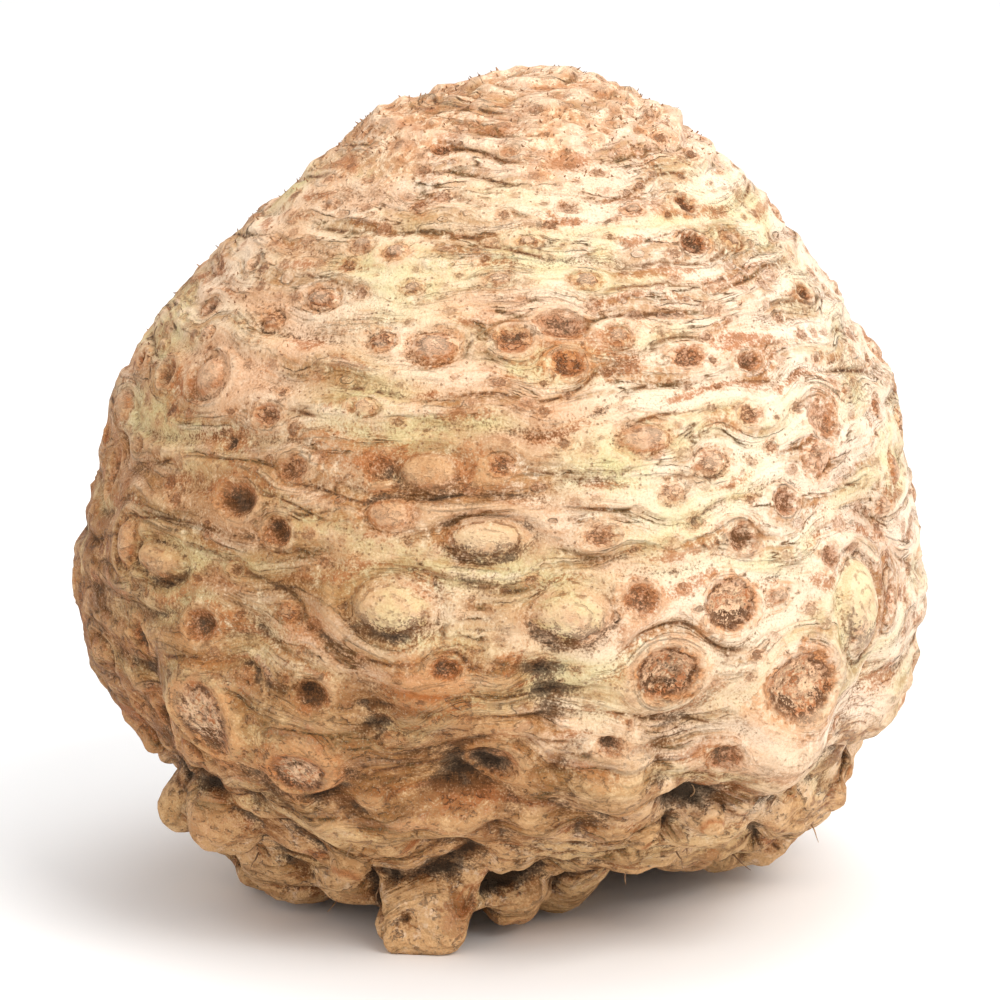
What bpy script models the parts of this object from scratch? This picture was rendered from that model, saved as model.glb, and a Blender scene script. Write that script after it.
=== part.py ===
"""A celeriac: one grown body, a swollen bulb with a corky crown above and trimmed root bases below.

Run with: blender --background --python part.py
Metres, +Z up. The origin is on the resting plane, under the middle of the body.
-Y is the side seen in the photograph.
The shape is settled in millimetres, and the finished mesh is scaled to metres.
Directions round the body are azimuths in degrees: 0 faces -Y and 90 faces +X.
"""

import math
import random

import bmesh
import bpy
import numpy as np
from mathutils import Matrix, Vector, noise

# Driving dimensions, in millimetres.
BULB_RADIUS = 63.5
BULB_TOP = 126.0
CORE_HEIGHT = 55.0
FUSE_VOXEL = 1.2
FUSE_SMOOTHING = 4
TRIANGLES = 11200
METRES_PER_MM = 0.001

# The bulb's half section from its underside to its crown: height and radius.
BULB_SECTION = (
    (5.0, 0.0), (7.0, 19.0), (12.0, 34.0), (20.0, 47.0), (30.0, 56.5), (40.0, 61.5), (50.0, BULB_RADIUS),
    (62.0, 62.3), (74.0, 59.6), (86.0, 54.2), (97.0, 46.0), (107.0, 36.2), (116.0, 26.6), (122.3, 17.6),
    (BULB_TOP, 0.0),
)
SECTION_STEPS = 12
SECTION_SAMPLES = 160
CROWN_LEAN = 5.0
LEAN_START = 72.0

# Swellings and hollows of the bulb's wall: azimuth, height, half width, half height, rise.
SWELLINGS = (
    (-43, 40, 11, 11, 4.4), (-27, 35, 9, 8, 3.0), (-9, 48, 9, 8, 2.6), (-6, 34, 6, 6, -4.6),
    (7, 46, 3.6, 8, -5.0), (43, 34, 12, 12, 5.2), (16, 32, 7, 6, 3.2), (2, 23, 13, 6, 3.2),
    (-26, 22, 15, 6, 3.0), (28, 26, 5, 6, -6.0), (-35, 52, 6, 4, -1.8), (-58, 40, 5, 8, -2.6),
    (-17, 42, 4, 6, -2.4), (24, 38, 5, 5, -1.8), (61, 38, 4, 9, -2.6), (-90, 120, 13, 5, 1.0),
    (90, 79, 12, 8, 2.0), (90, 108, 10, 9, 1.0), (-90, 31, 12, 8, 2.6), (90, 32, 12, 8, 2.0),
    (-14, 59, 9, 5, 1.2), (9, 57, 7, 5, 1.0), (-60, 62, 9, 8, 1.4), (54, 53, 8, 8, 1.6),
    (-18, 103, 9, 6, 1.0), (100, 40, 15, 13, 2.8), (128, 33, 12, 11, 3.2), (150, 44, 13, 12, 2.2),
    (176, 34, 14, 10, 3.4), (200, 46, 12, 12, 2.0), (224, 35, 13, 11, 3.0), (250, 42, 13, 12, 2.6),
    (139, 25, 5, 7, -4.0), (210, 25, 5, 7, -4.4), (162, 60, 7, 7, -2.0), (-95, 44, 12, 10, 1.6),
    (75, 36, 10, 10, 1.6),
)

# Root bases under the bulb: azimuth, distance out, height, half sizes across, outward and up, and lean.
ROOT_BASES = (
    (-84, 35, 13, 13, 13, 12, 0), (-63, 31, 11, 10, 10, 8.5, 0), (-45, 28, 11, 8, 9, 8.5, 0),
    (-19, 32, 8, 9, 10, 9.5, 0), (-1, 24, 8.2, 7.2, 8, 8.8, 0), (32, 21, 11, 8, 8, 6.5, 0),
    (62, 28, 14, 9, 9, 8.5, 0), (94, 33, 14.5, 15, 13.6, 12, 0), (78, 43, 19, 12, 9, 8, -12),
    (101, 49, 27.5, 13, 10.6, 13, 10), (-86, 47.5, 29, 11, 9, 11, 10), (-62, 46, 20, 12, 8, 7, 6),
)
BACK_BASES = 6
BACK_BASE_FROM = 112.0
BACK_BASE_STEP = 27.0
BASE_SUNK = 0.2
BACK_KNUCKLES = (134, 161, 190, 217, 246)
KNUCKLE_LEAN = 12.0
TAPROOT_KNOBS = 7
TAPROOT_HEIGHT = 7.0

# How far the root bases are pushed about, by noise of that size, fading out up the wall.
BASE_TWIST = 5.0
TWIST_SIZE = 19.0
TWIST_SEEDS = (21, 22, 23)
TWIST_FADE = (42.0, 16.0)

# Trimmed side roots on the side seen in the photograph: azimuth, height, radius. A rule sets the rest.
FRONT_STUBS = ((-9, 13, 2.3), (24, 21, 2.1), (33, 24, 1.9), (60, 22, 1.8), (-33, 17, 1.8))
FRONT_STUB_LENGTH = 7.0
FRONT_STUB_DROOP = 0.25
BACK_STUBS = 22
BACK_STUBS_FROM = 82.0
BACK_STUBS_TO = 262.0
STUB_FLARE = 1.25
STUB_SUNK = 2.0

# Large root scars on the side seen in the photograph: azimuth, height, half width, half height and kind.
DISC, EYE, PIT = "disc", "eye", "pit"
LARGE_SCARS = (
    (22, 48, 4.9, 3.9, DISC), (42, 44, 5.9, 4.6, DISC), (31, 57, 4.4, 3.8, DISC),
    (18, 59, 2.8, 2.4, PIT), (-42, 40, 4.9, 5.4, DISC), (-14, 58, 5.6, 4.2, EYE),
    (9, 57, 5.2, 3.8, EYE), (54, 53, 4.6, 6.2, EYE), (65, 52, 2.0, 3.4, DISC), (34, 66, 2.6, 2.3, PIT),
    (43, 70, 2.1, 2.0, PIT), (49, 61, 1.7, 1.7, PIT), (-31, 67, 2.3, 2.2, PIT),
    (-39, 71, 3.8, 2.4, PIT), (-74, 69, 2.4, 3.6, PIT), (-60, 61, 3.0, 3.2, EYE),
    (-30, 76, 2.7, 2.0, DISC), (-10, 77, 4.4, 2.7, EYE), (-17, 77, 1.9, 1.9, PIT),
    (1, 94, 2.7, 2.3, DISC), (10, 91, 2.5, 2.1, DISC), (9, 96, 3.6, 2.2, PIT), (43, 105, 2.4, 1.9, PIT),
    (48, 110, 1.9, 1.9, PIT), (-12, 93, 3.3, 2.2, EYE), (-52, 86, 3.2, 2.8, EYE),
    (-37, 98, 2.6, 1.6, EYE), (31, 91, 2.8, 1.7, DISC), (54, 80, 3.2, 2.9, DISC),
    (51, 75, 2.8, 2.4, EYE), (31, 77, 2.6, 1.9, EYE), (-2, 68, 6.4, 3.4, EYE), (-15, 71, 3.1, 2.2, EYE),
    (21, 81, 3.8, 2.0, EYE), (-58, 47, 2.6, 2.8, PIT), (-60, 33, 3.0, 3.2, PIT),
    (39, 57, 2.0, 1.2, EYE), (-7, 50, 2.2, 1.6, PIT), (-52, 60, 4.6, 2.6, EYE),
)
SCAR_RELIEF = {DISC: (-0.9, 0.6, 0.0), EYE: (1.0, -0.6, 0.45), PIT: (-1.5, 0.45, 0.0)}
SCAR_REFERENCE = 4.0
SCAR_ROWS = 17
ROW_FROM = 34.0
ROW_TO = 122.0
ROW_JITTER = 2.2
LOWEST_ROW_SCAR = 4.2
ROW_SHRINK = 2.9
SMALLEST_RELIEF_SCAR = 1.35
FAR_AWAY = 99.0

# The wall's growth rings: how far apart, how deep and wide the crease between two is, how they bend.
RING_SPACING = 6.2
RING_WANDER = 1.4
CREASE_DEPTH = 0.85
CREASE_WIDTH = 0.13
CREASE_FADE = (26.0, 44.0)
RING_BEND = 1.1

# Uneven growth, as layers of noise: feature size, strength in millimetres, and seed.
WALL_WAVES = ((34, 1.3, 7), (13, 0.7, 8))
ROOT_WAVES = ((10, 1.4, 9),)
ROOT_LUMPS = ((16, 4.4, 12), (7, 2.0, 13))
ROOT_FADE = (48.0, 22.0)
CROWN_WAVES = ((5, 1.1, 10),)
CROWN_FADE = (116.0, 124.0)
STEM_REST = (11.0, 7.0, 1.4)
MEAN_LUMP = 0.22


def section_curve():
    """The bulb's half section as a smooth curve through BULB_SECTION, in even steps of its own length."""
    points = [Vector((radius, height)) for height, radius in BULB_SECTION]
    before = Vector((-points[1].x, points[1].y))
    after = Vector((-points[-2].x, points[-2].y))
    chain = [before, *points, after]
    curve = []
    for a, b, c, d in zip(chain, chain[1:], chain[2:], chain[3:]):
        for step in range(SECTION_STEPS):
            t = step / SECTION_STEPS
            curve.append(0.5 * ((2 * b) + (c - a) * t + (2 * a - 5 * b + 4 * c - d) * t**2
                                + (3 * b - a - 3 * c + d) * t**3))
    curve = np.array([*curve, points[-1]])
    length = np.concatenate([[0], np.cumsum(np.linalg.norm(np.diff(curve, axis=0), axis=1))])
    even = np.linspace(0, length[-1], SECTION_SAMPLES)
    return np.stack([np.interp(even, length, curve[:, 0]), np.interp(even, length, curve[:, 1])], axis=1)


SECTION = section_curve()


def ramp(value, start_end):
    """0 at the first of two values, 1 at the second, and even between them."""
    start, end = start_end
    return np.clip((value - start) / (end - start), 0, 1)


def wall_radius(height):
    """The bulb's radius at a height."""
    return np.interp(height, SECTION[:, 1], SECTION[:, 0])


def lean(height):
    """How far the bulb's axis stands towards +X at a height."""
    return CROWN_LEAN * ramp(np.asarray(height), (LEAN_START, BULB_TOP)) ** 2


def on_wall(azimuth, height):
    """A point of the wall by azimuth and height, and the unit vectors round, up and out of the wall."""
    turn = math.radians(azimuth)
    out = np.array([math.sin(turn), -math.cos(turn), 0.0])
    point = out * wall_radius(height) + np.array([lean(height), 0, height])
    rise = np.array([0, 0, 2.0]) + out * (wall_radius(height + 1) - wall_radius(height - 1))
    up = rise / np.linalg.norm(rise)
    around = np.array([math.cos(turn), math.sin(turn), 0.0])
    return point, around, up, np.cross(around, up)


def noise_field(points, size, seed):
    """Smooth noise from about -1 to 1 at each point, whose features are size millimetres across."""
    shift = Vector((seed * 17.3, seed * 5.1, seed * 29.7))
    return np.array([noise.noise(Vector(p) / size + shift) for p in points])


def waves(points, layers):
    """Smooth swells, summed over layers of noise."""
    return sum(strength * noise_field(points, size, seed) for size, strength, seed in layers)


def billows(points, layers):
    """Rounded lumps with sharp folds between them, summed over layers of noise."""
    return sum(strength * (np.abs(noise_field(points, size, seed)) - MEAN_LUMP)
               for size, strength, seed in layers)


def turned_bulb():
    """The bulb, turned from its half section."""
    shape = bmesh.new()
    bmesh.ops.create_uvsphere(shape, u_segments=120, v_segments=90, radius=1.0)
    for vertex in shape.verts:
        share = 1 - math.acos(max(-1.0, min(1.0, vertex.co.z))) / math.pi
        radius, height = SECTION[round(share * (len(SECTION) - 1))]
        turn = math.atan2(vertex.co.y, vertex.co.x)
        vertex.co = (radius * math.cos(turn) + float(lean(height)), radius * math.sin(turn), height)
    return shape


def add_blob(shape, centre, sizes, turn, tip=0.0):
    """Adds a rounded lump with half sizes across, outward and up, turned to an azimuth and tipped."""
    place = (Matrix.Translation(centre) @ Matrix.Rotation(math.radians(turn), 4, "Z")
             @ Matrix.Rotation(math.radians(tip), 4, "X") @ Matrix.Diagonal((*sizes, 1.0)))
    bmesh.ops.create_icosphere(shape, subdivisions=3, radius=1.0, matrix=place)


def add_base(shape, azimuth, distance, height, across, outward, up, tip):
    """Adds one thick root base, pressed against the bulb's underside."""
    turn = math.radians(azimuth)
    centre = Vector((math.sin(turn) * distance, -math.cos(turn) * distance, height))
    add_blob(shape, centre, (across, outward, up), azimuth, tip)


def add_root_bases(shape, draw):
    """Adds the bases seen in the photograph, a ring behind, knuckles over it, and the main root's knobs."""
    for base in ROOT_BASES:
        add_base(shape, *base)
    for number in range(BACK_BASES):
        azimuth = BACK_BASE_FROM + number * BACK_BASE_STEP
        half_height = draw.uniform(10, 14)
        add_base(shape, azimuth, draw.uniform(33, 37), half_height - BASE_SUNK,
                 draw.uniform(12, 15), draw.uniform(12, 15), half_height, 0)
    for azimuth in BACK_KNUCKLES:
        add_base(shape, azimuth + draw.uniform(-6, 6), draw.uniform(46, 48), draw.uniform(22, 27),
                 draw.uniform(12, 15), draw.uniform(8, 10), draw.uniform(10, 13), KNUCKLE_LEAN)
    for number in range(TAPROOT_KNOBS):
        azimuth = number * 360 / TAPROOT_KNOBS + draw.uniform(-12, 12)
        add_base(shape, azimuth, draw.uniform(9, 15), TAPROOT_HEIGHT,
                 draw.uniform(6, 8), draw.uniform(7, 9), draw.uniform(4, 6), 0)


def add_stub(shape, azimuth, height, radius, length, droop):
    """Adds the short stump of a trimmed side root: a tapered rod that ends in a blunt cut."""
    point, _, _, out = on_wall(azimuth, height)
    way = Vector(out) + Vector((0, 0, -droop))
    turn = Vector((0, 0, 1)).rotation_difference(way.normalized()).to_matrix().to_4x4()
    middle = Vector(point) + way.normalized() * (length / 2 - STUB_SUNK)
    bmesh.ops.create_cone(shape, cap_ends=True, segments=10, radius1=radius * STUB_FLARE, radius2=radius,
                          depth=length, matrix=Matrix.Translation(middle) @ turn)


def add_stubs(shape, draw):
    """Adds the trimmed side roots, in front by hand and behind by a rule."""
    for azimuth, height, radius in FRONT_STUBS:
        add_stub(shape, azimuth, height, radius, FRONT_STUB_LENGTH, FRONT_STUB_DROOP)
    for number in range(BACK_STUBS):
        azimuth = BACK_STUBS_FROM + (BACK_STUBS_TO - BACK_STUBS_FROM) * number / BACK_STUBS
        add_stub(shape, azimuth + draw.uniform(-4, 4), draw.uniform(12, 30), draw.uniform(2.4, 4.2),
                 draw.uniform(6, 9), draw.uniform(0, 0.6))


def scar_rows(draw):
    """Every root scar of the wall: the large ones, then rows, smaller and closer towards the crown."""
    scars = [(*scar, on_wall(scar[0], scar[1])) for scar in LARGE_SCARS]
    for row in range(SCAR_ROWS):
        share = row / (SCAR_ROWS - 1)
        height = ROW_FROM + (ROW_TO - ROW_FROM) * share
        size = LOWEST_ROW_SCAR - ROW_SHRINK * share**0.7
        count = round(2 * math.pi * wall_radius(height) / (size * 6.2))
        for number in range(count):
            azimuth = (number + 0.5 * (row % 2)) * 360 / count + draw.uniform(-0.33, 0.33) * 360 / count
            wide = size * draw.uniform(0.45, 1.15)
            high = wide * draw.uniform(0.55, 0.9)
            kind = draw.choice((DISC, EYE, EYE, PIT))
            frame = on_wall(azimuth, height + draw.uniform(-ROW_JITTER, ROW_JITTER))
            clear = all(np.linalg.norm(frame[0] - other[5][0]) > 1.5 * (wide + other[2]) for other in scars)
            if clear:
                scars.append((azimuth, height, wide, high, kind, frame))
    return scars


def local_place(points, frame, wide, high):
    """Each point's place in a scar's own outline: along, up, and the distance, where 1 is its edge."""
    centre, around, up, _ = frame
    offset = points - centre
    along = offset @ around / wide
    rise = offset @ up / high
    depth = np.linalg.norm(offset, axis=1)
    return along, rise, np.where(depth < 5 * max(wide, high), np.hypot(along, rise), FAR_AWAY)


def scar_relief(points, scars):
    """How far the scars raise or sink the wall at each point, in millimetres."""
    relief = np.zeros(len(points))
    for _, _, wide, high, kind, frame in scars:
        if wide < SMALLEST_RELIEF_SCAR:
            continue
        _, _, distance = local_place(points, frame, wide, high)
        inside, rim, lid = SCAR_RELIEF[kind]
        strength = (wide / SCAR_REFERENCE) ** 0.6
        relief += strength * (inside * np.exp(-((distance / 0.85) ** 4))
                              + rim * np.exp(-(((distance - 1.2) / 0.22) ** 2))
                              + lid * np.exp(-(((distance - 1.7) / 0.3) ** 2)))
    return relief


def ring_lines(points, scars):
    """A height along the wall whose level lines are the growth rings, which part round each scar."""
    middle = points - np.array([0, 0, CORE_HEIGHT])
    middle[:, 0] -= lean(points[:, 2])
    level = BULB_RADIUS * np.arctan2(np.hypot(middle[:, 0], middle[:, 1]), middle[:, 2])
    for _, _, wide, high, _, frame in scars:
        _, rise, distance = local_place(points, frame, wide, high)
        level += RING_BEND * high * rise / np.maximum(distance, 1.0) ** 2 * (distance < FAR_AWAY)
    return level


def ring_creases(points, level):
    """1 in the middle of the crease between two growth rings, 0 away from it. Creases fade in and out."""
    phase = level / RING_SPACING + RING_WANDER * noise_field(points, 24, 3)
    gap = np.abs((phase + 0.5) % 1 - 0.5)
    strength = np.clip(0.6 + 1.3 * noise_field(points * (1, 1, 2.2), 19, 5), 0.15, 1)
    return ramp(points[:, 2], CREASE_FADE) * strength * np.exp(-((gap / CREASE_WIDTH) ** 2))


def wall_relief(points):
    """The full relief of the skin at each point, in millimetres along its normal."""
    draw = random.Random(11)
    scars = scar_rows(draw)
    relief = scar_relief(points, scars)
    for azimuth, height, wide, high, rise in SWELLINGS:
        _, _, distance = local_place(points, on_wall(azimuth, height), wide, high)
        relief += rise * np.exp(-(distance**2))
    relief -= CREASE_DEPTH * ring_creases(points, ring_lines(points, scars))
    relief += waves(points, WALL_WAVES)
    relief += ramp(points[:, 2], ROOT_FADE) * (waves(points, ROOT_WAVES) + billows(points, ROOT_LUMPS))
    across, width, rise = STEM_REST
    stem_rest = rise * np.exp(-(((points[:, 0] - across) / width) ** 2))
    return relief + ramp(points[:, 2], CROWN_FADE) * (waves(points, CROWN_WAVES) + stem_rest)


def fused(shape):
    """The lumps as one skin of even small faces, as an object whose mesh can be worked on."""
    mesh = bpy.data.meshes.new("lumps")
    shape.to_mesh(mesh)
    shape.free()
    lumps = bpy.data.objects.new("lumps", mesh)
    bpy.context.scene.collection.objects.link(lumps)
    fuse = lumps.modifiers.new("Fuse", "REMESH")
    fuse.mode = "VOXEL"
    fuse.voxel_size = FUSE_VOXEL
    smooth = lumps.modifiers.new("Soften", "SMOOTH")
    smooth.factor = 0.5
    smooth.iterations = FUSE_SMOOTHING
    skin = evaluated_mesh(lumps)
    bpy.data.objects.remove(lumps)
    return skin


def evaluated_mesh(thing):
    bpy.context.view_layer.update()
    graph = bpy.context.evaluated_depsgraph_get()
    return bpy.data.meshes.new_from_object(thing.evaluated_get(graph))


def twisted(points):
    """The points with the root bases pushed about, so that no two are alike."""
    low = ramp(points[:, 2], TWIST_FADE)[:, None]
    push = np.stack([noise_field(points, TWIST_SIZE, seed) for seed in TWIST_SEEDS], axis=1)
    return points + BASE_TWIST * low * push * (1, 1, 0.5)


def raise_relief(skin):
    """Moves every vertex of the skin along its normal by the wall's relief."""
    count = len(skin.vertices)
    points = np.empty(count * 3)
    normals = np.empty(count * 3)
    skin.vertices.foreach_get("co", points)
    skin.vertices.foreach_get("normal", normals)
    points = points.reshape(-1, 3)
    normals = normals.reshape(-1, 3)
    points = twisted(points) + normals * wall_relief(points)[:, None]
    skin.vertices.foreach_set("co", points.ravel())
    skin.update()


def thinned(skin):
    """The skin with its flat stretches in larger triangles, so that scars and ridges keep theirs."""
    thing = bpy.data.objects.new("thinned", skin)
    bpy.context.scene.collection.objects.link(thing)
    thin = thing.modifiers.new("Thin", "DECIMATE")
    thin.ratio = TRIANGLES / sum(len(face.vertices) - 2 for face in skin.polygons)
    mesh = evaluated_mesh(thing)
    bpy.data.objects.remove(thing)
    return mesh


def drop_scraps(shape):
    """Keeps only the largest connected body."""
    left = set(shape.verts)
    bodies = []
    while left:
        edge_of_body = [left.pop()]
        body = set(edge_of_body)
        while edge_of_body:
            vertex = edge_of_body.pop()
            for edge in vertex.link_edges:
                other = edge.other_vert(vertex)
                if other in left:
                    left.remove(other)
                    body.add(other)
                    edge_of_body.append(other)
        bodies.append(body)
    bodies.sort(key=len)
    for body in bodies[:-1]:
        bmesh.ops.delete(shape, geom=list(body), context="VERTS")


def trim_underside(mesh):
    """Cuts the root ends off flat at the resting plane, centres the body and turns it to metres."""
    shape = bmesh.new()
    shape.from_mesh(mesh)
    bmesh.ops.bisect_plane(shape, geom=[*shape.verts, *shape.edges, *shape.faces], dist=0.02,
                           plane_co=(0, 0, 0), plane_no=(0, 0, 1), clear_inner=True)
    open_edges = [edge for edge in shape.edges if edge.is_boundary]
    bmesh.ops.holes_fill(shape, edges=open_edges, sides=0)
    bmesh.ops.triangulate(shape, faces=[face for face in shape.faces if len(face.verts) > 3])
    drop_scraps(shape)
    bmesh.ops.recalc_face_normals(shape, faces=shape.faces)
    low = Vector(min(v.co[axis] for v in shape.verts) for axis in range(3))
    high = Vector(max(v.co[axis] for v in shape.verts) for axis in range(3))
    middle = (low + high) / 2
    bmesh.ops.translate(shape, verts=shape.verts, vec=(-middle.x, -middle.y, 0))
    bmesh.ops.scale(shape, verts=shape.verts, vec=(METRES_PER_MM,) * 3)
    shape.to_mesh(mesh)
    shape.free()


def root_skin_material():
    """Pale tan root skin, dull."""
    material = bpy.data.materials.new("root_skin")
    material.use_nodes = True
    shader = material.node_tree.nodes["Principled BSDF"]
    shader.inputs["Base Color"].default_value = (0.60, 0.41, 0.24, 1.0)
    shader.inputs["Roughness"].default_value = 0.75
    shader.inputs["Metallic"].default_value = 0.0
    return material


def build():
    for thing in list(bpy.data.objects):
        bpy.data.objects.remove(thing)
    draw = random.Random(5)
    shape = turned_bulb()
    add_root_bases(shape, draw)
    add_stubs(shape, draw)
    skin = fused(shape)
    raise_relief(skin)
    mesh = thinned(skin)
    trim_underside(mesh)
    mesh.materials.clear()
    mesh.materials.append(root_skin_material())
    mesh.shade_smooth()
    celeriac = bpy.data.objects.new("celeriac", mesh)
    bpy.context.scene.collection.objects.link(celeriac)


build()
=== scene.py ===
"""The dressed celeriac: its finished skin, the bristles of its crown and its last root hairs."""

import math
import random

import bmesh
import bpy
import numpy as np
from mathutils import Matrix, Vector, noise


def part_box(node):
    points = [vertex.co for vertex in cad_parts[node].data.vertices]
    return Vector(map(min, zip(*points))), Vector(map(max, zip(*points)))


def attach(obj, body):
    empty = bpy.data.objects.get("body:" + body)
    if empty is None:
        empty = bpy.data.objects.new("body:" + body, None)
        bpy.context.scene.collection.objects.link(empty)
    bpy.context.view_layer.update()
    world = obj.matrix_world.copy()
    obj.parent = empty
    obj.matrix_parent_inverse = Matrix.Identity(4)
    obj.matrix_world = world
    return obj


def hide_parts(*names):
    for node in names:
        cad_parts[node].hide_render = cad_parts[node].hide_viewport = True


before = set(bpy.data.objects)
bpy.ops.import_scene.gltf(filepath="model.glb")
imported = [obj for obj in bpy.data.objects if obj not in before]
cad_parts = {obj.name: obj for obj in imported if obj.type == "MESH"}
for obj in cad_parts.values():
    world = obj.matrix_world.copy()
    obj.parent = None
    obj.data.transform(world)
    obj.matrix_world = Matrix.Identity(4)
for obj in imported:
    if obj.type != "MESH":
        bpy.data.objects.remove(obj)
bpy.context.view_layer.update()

# The bulb.
# A celeriac is a stem base swollen into a ball: one firm tissue from its corky crown to its roots.
# It starts as a turned body whose half section follows the photograph's outline. Its shape is
# settled in millimetres, and directions round it are azimuths: 0 faces -Y and 90 faces +X.
MM = 0.001
BULB_RADIUS = 63.5
BULB_TOP = 126.0
CORE_HEIGHT = 55.0
BULB_SECTION = (
    (5.0, 0.0), (7.0, 19.0), (12.0, 34.0), (20.0, 47.0), (30.0, 56.5), (40.0, 61.5), (50.0, BULB_RADIUS),
    (62.0, 62.3), (74.0, 59.6), (86.0, 54.2), (97.0, 46.0), (107.0, 36.2), (116.0, 26.6), (122.3, 17.6),
    (BULB_TOP, 0.0),
)
SECTION_STEPS = 12
SECTION_SAMPLES = 160
CROWN_LEAN = 5.0
LEAN_START = 72.0
BULB_SEGMENTS = 120
BULB_RINGS = 90
NOISE_SHIFT = (17.3, 5.1, 29.7)
MEAN_LUMP = 0.22


def section_curve():
    """The bulb's half section as a smooth curve through BULB_SECTION, in even steps of its own length."""
    points = [Vector((radius, height)) for height, radius in BULB_SECTION]
    before = Vector((-points[1].x, points[1].y))
    after = Vector((-points[-2].x, points[-2].y))
    chain = [before, *points, after]
    curve = []
    for a, b, c, d in zip(chain, chain[1:], chain[2:], chain[3:]):
        for step in range(SECTION_STEPS):
            t = step / SECTION_STEPS
            curve.append(0.5 * ((2 * b) + (c - a) * t + (2 * a - 5 * b + 4 * c - d) * t**2
                                + (3 * b - a - 3 * c + d) * t**3))
    curve = np.array([*curve, points[-1]])
    length = np.concatenate([[0], np.cumsum(np.linalg.norm(np.diff(curve, axis=0), axis=1))])
    even = np.linspace(0, length[-1], SECTION_SAMPLES)
    return np.stack([np.interp(even, length, curve[:, 0]), np.interp(even, length, curve[:, 1])], axis=1)


SECTION = section_curve()


def ramp(value, start_end):
    """0 at the first of two values, 1 at the second, and even between them."""
    start, end = start_end
    return np.clip((value - start) / (end - start), 0, 1)


def wall_radius(height):
    """The bulb's radius at a height."""
    return np.interp(height, SECTION[:, 1], SECTION[:, 0])


def lean(height):
    """How far the bulb's axis stands towards +X at a height."""
    return CROWN_LEAN * ramp(np.asarray(height), (LEAN_START, BULB_TOP)) ** 2


def on_wall(azimuth, height):
    """A point of the wall by azimuth and height, and the unit vectors round, up and out of the wall."""
    turn = math.radians(azimuth)
    out = np.array([math.sin(turn), -math.cos(turn), 0.0])
    point = out * wall_radius(height) + np.array([lean(height), 0, height])
    rise = np.array([0, 0, 2.0]) + out * (wall_radius(height + 1) - wall_radius(height - 1))
    up = rise / np.linalg.norm(rise)
    around = np.array([math.cos(turn), math.sin(turn), 0.0])
    return point, around, up, np.cross(around, up)


def noise_field(points, size, seed):
    """Smooth noise from about -1 to 1 at each point, whose features are size millimetres across."""
    shift = Vector(seed * share for share in NOISE_SHIFT)
    return np.array([noise.noise(Vector(p) / size + shift) for p in points])


def waves(points, layers):
    """Smooth swells, summed over layers of noise."""
    return sum(strength * noise_field(points, size, seed) for size, strength, seed in layers)


def billows(points, layers):
    """Rounded lumps with sharp folds between them, summed over layers of noise."""
    return sum(strength * (np.abs(noise_field(points, size, seed)) - MEAN_LUMP)
               for size, strength, seed in layers)


def turned_bulb():
    """The bulb, turned from its half section."""
    shape = bmesh.new()
    bmesh.ops.create_uvsphere(shape, u_segments=BULB_SEGMENTS, v_segments=BULB_RINGS, radius=1.0)
    for vertex in shape.verts:
        share = 1 - math.acos(max(-1.0, min(1.0, vertex.co.z))) / math.pi
        radius, height = SECTION[round(share * (len(SECTION) - 1))]
        turn = math.atan2(vertex.co.y, vertex.co.x)
        vertex.co = (radius * math.cos(turn) + float(lean(height)), radius * math.sin(turn), height)
    return shape


# The root bases and stumps.
# Thick roots grow out of the bulb's underside and were cut off short, and thinner ones round its
# lower side were trimmed to stumps. They are lumps and tapered rods, which later fuse with the bulb.
# ROOT_BASES: azimuth, distance out, height, half sizes across, outward and up, and lean.
ROOT_BASES = (
    (-84, 35, 13, 13, 13, 12, 0), (-63, 31, 11, 10, 10, 8.5, 0), (-45, 28, 11, 8, 9, 8.5, 0),
    (-19, 32, 8, 9, 10, 9.5, 0), (-1, 24, 8.2, 7.2, 8, 8.8, 0), (32, 21, 11, 8, 8, 6.5, 0),
    (62, 28, 14, 9, 9, 8.5, 0), (94, 33, 14.5, 15, 13.6, 12, 0), (78, 43, 19, 12, 9, 8, -12),
    (101, 49, 27.5, 13, 10.6, 13, 10), (-86, 47.5, 29, 11, 9, 11, 10), (-62, 46, 20, 12, 8, 7, 6),
)
BACK_BASES = 6
BACK_BASE_FROM = 112.0
BACK_BASE_STEP = 27.0
BASE_SUNK = 0.2
BACK_BASE_DISTANCE = (33, 37)
BACK_BASE_WIDTH = (12, 15)
BACK_BASE_HALF_HEIGHT = (10, 14)
BACK_KNUCKLES = (134, 161, 190, 217, 246)
KNUCKLE_STRAY = 6
KNUCKLE_DISTANCE = (46, 48)
KNUCKLE_HEIGHT = (22, 27)
KNUCKLE_SIZES = ((12, 15), (8, 10), (10, 13))
KNUCKLE_LEAN = 12.0
TAPROOT_KNOBS = 7
TAPROOT_STRAY = 12
TAPROOT_DISTANCE = (9, 15)
TAPROOT_HEIGHT = 7.0
TAPROOT_SIZES = ((6, 8), (7, 9), (4, 6))

# FRONT_STUBS: azimuth, height and radius of those that the photograph shows. A rule sets the rest.
FRONT_STUBS = ((-9, 13, 2.3), (24, 21, 2.1), (33, 24, 1.9), (60, 22, 1.8), (-33, 17, 1.8))
FRONT_STUB_LENGTH = 5.5
FRONT_STUB_DROOP = 0.25
BACK_STUBS = 22
BACK_STUBS_FROM = 82.0
BACK_STUBS_TO = 262.0
BACK_STUB_STRAY = 4
BACK_STUB_HEIGHT = (12, 30)
BACK_STUB_RADIUS = (2.4, 4.2)
BACK_STUB_LENGTH = (6, 9)
BACK_STUB_DROOP = (0, 0.6)
STUB_SIDES = 10
STUB_FLARE = 1.25
STUB_SUNK = 2.0


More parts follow.
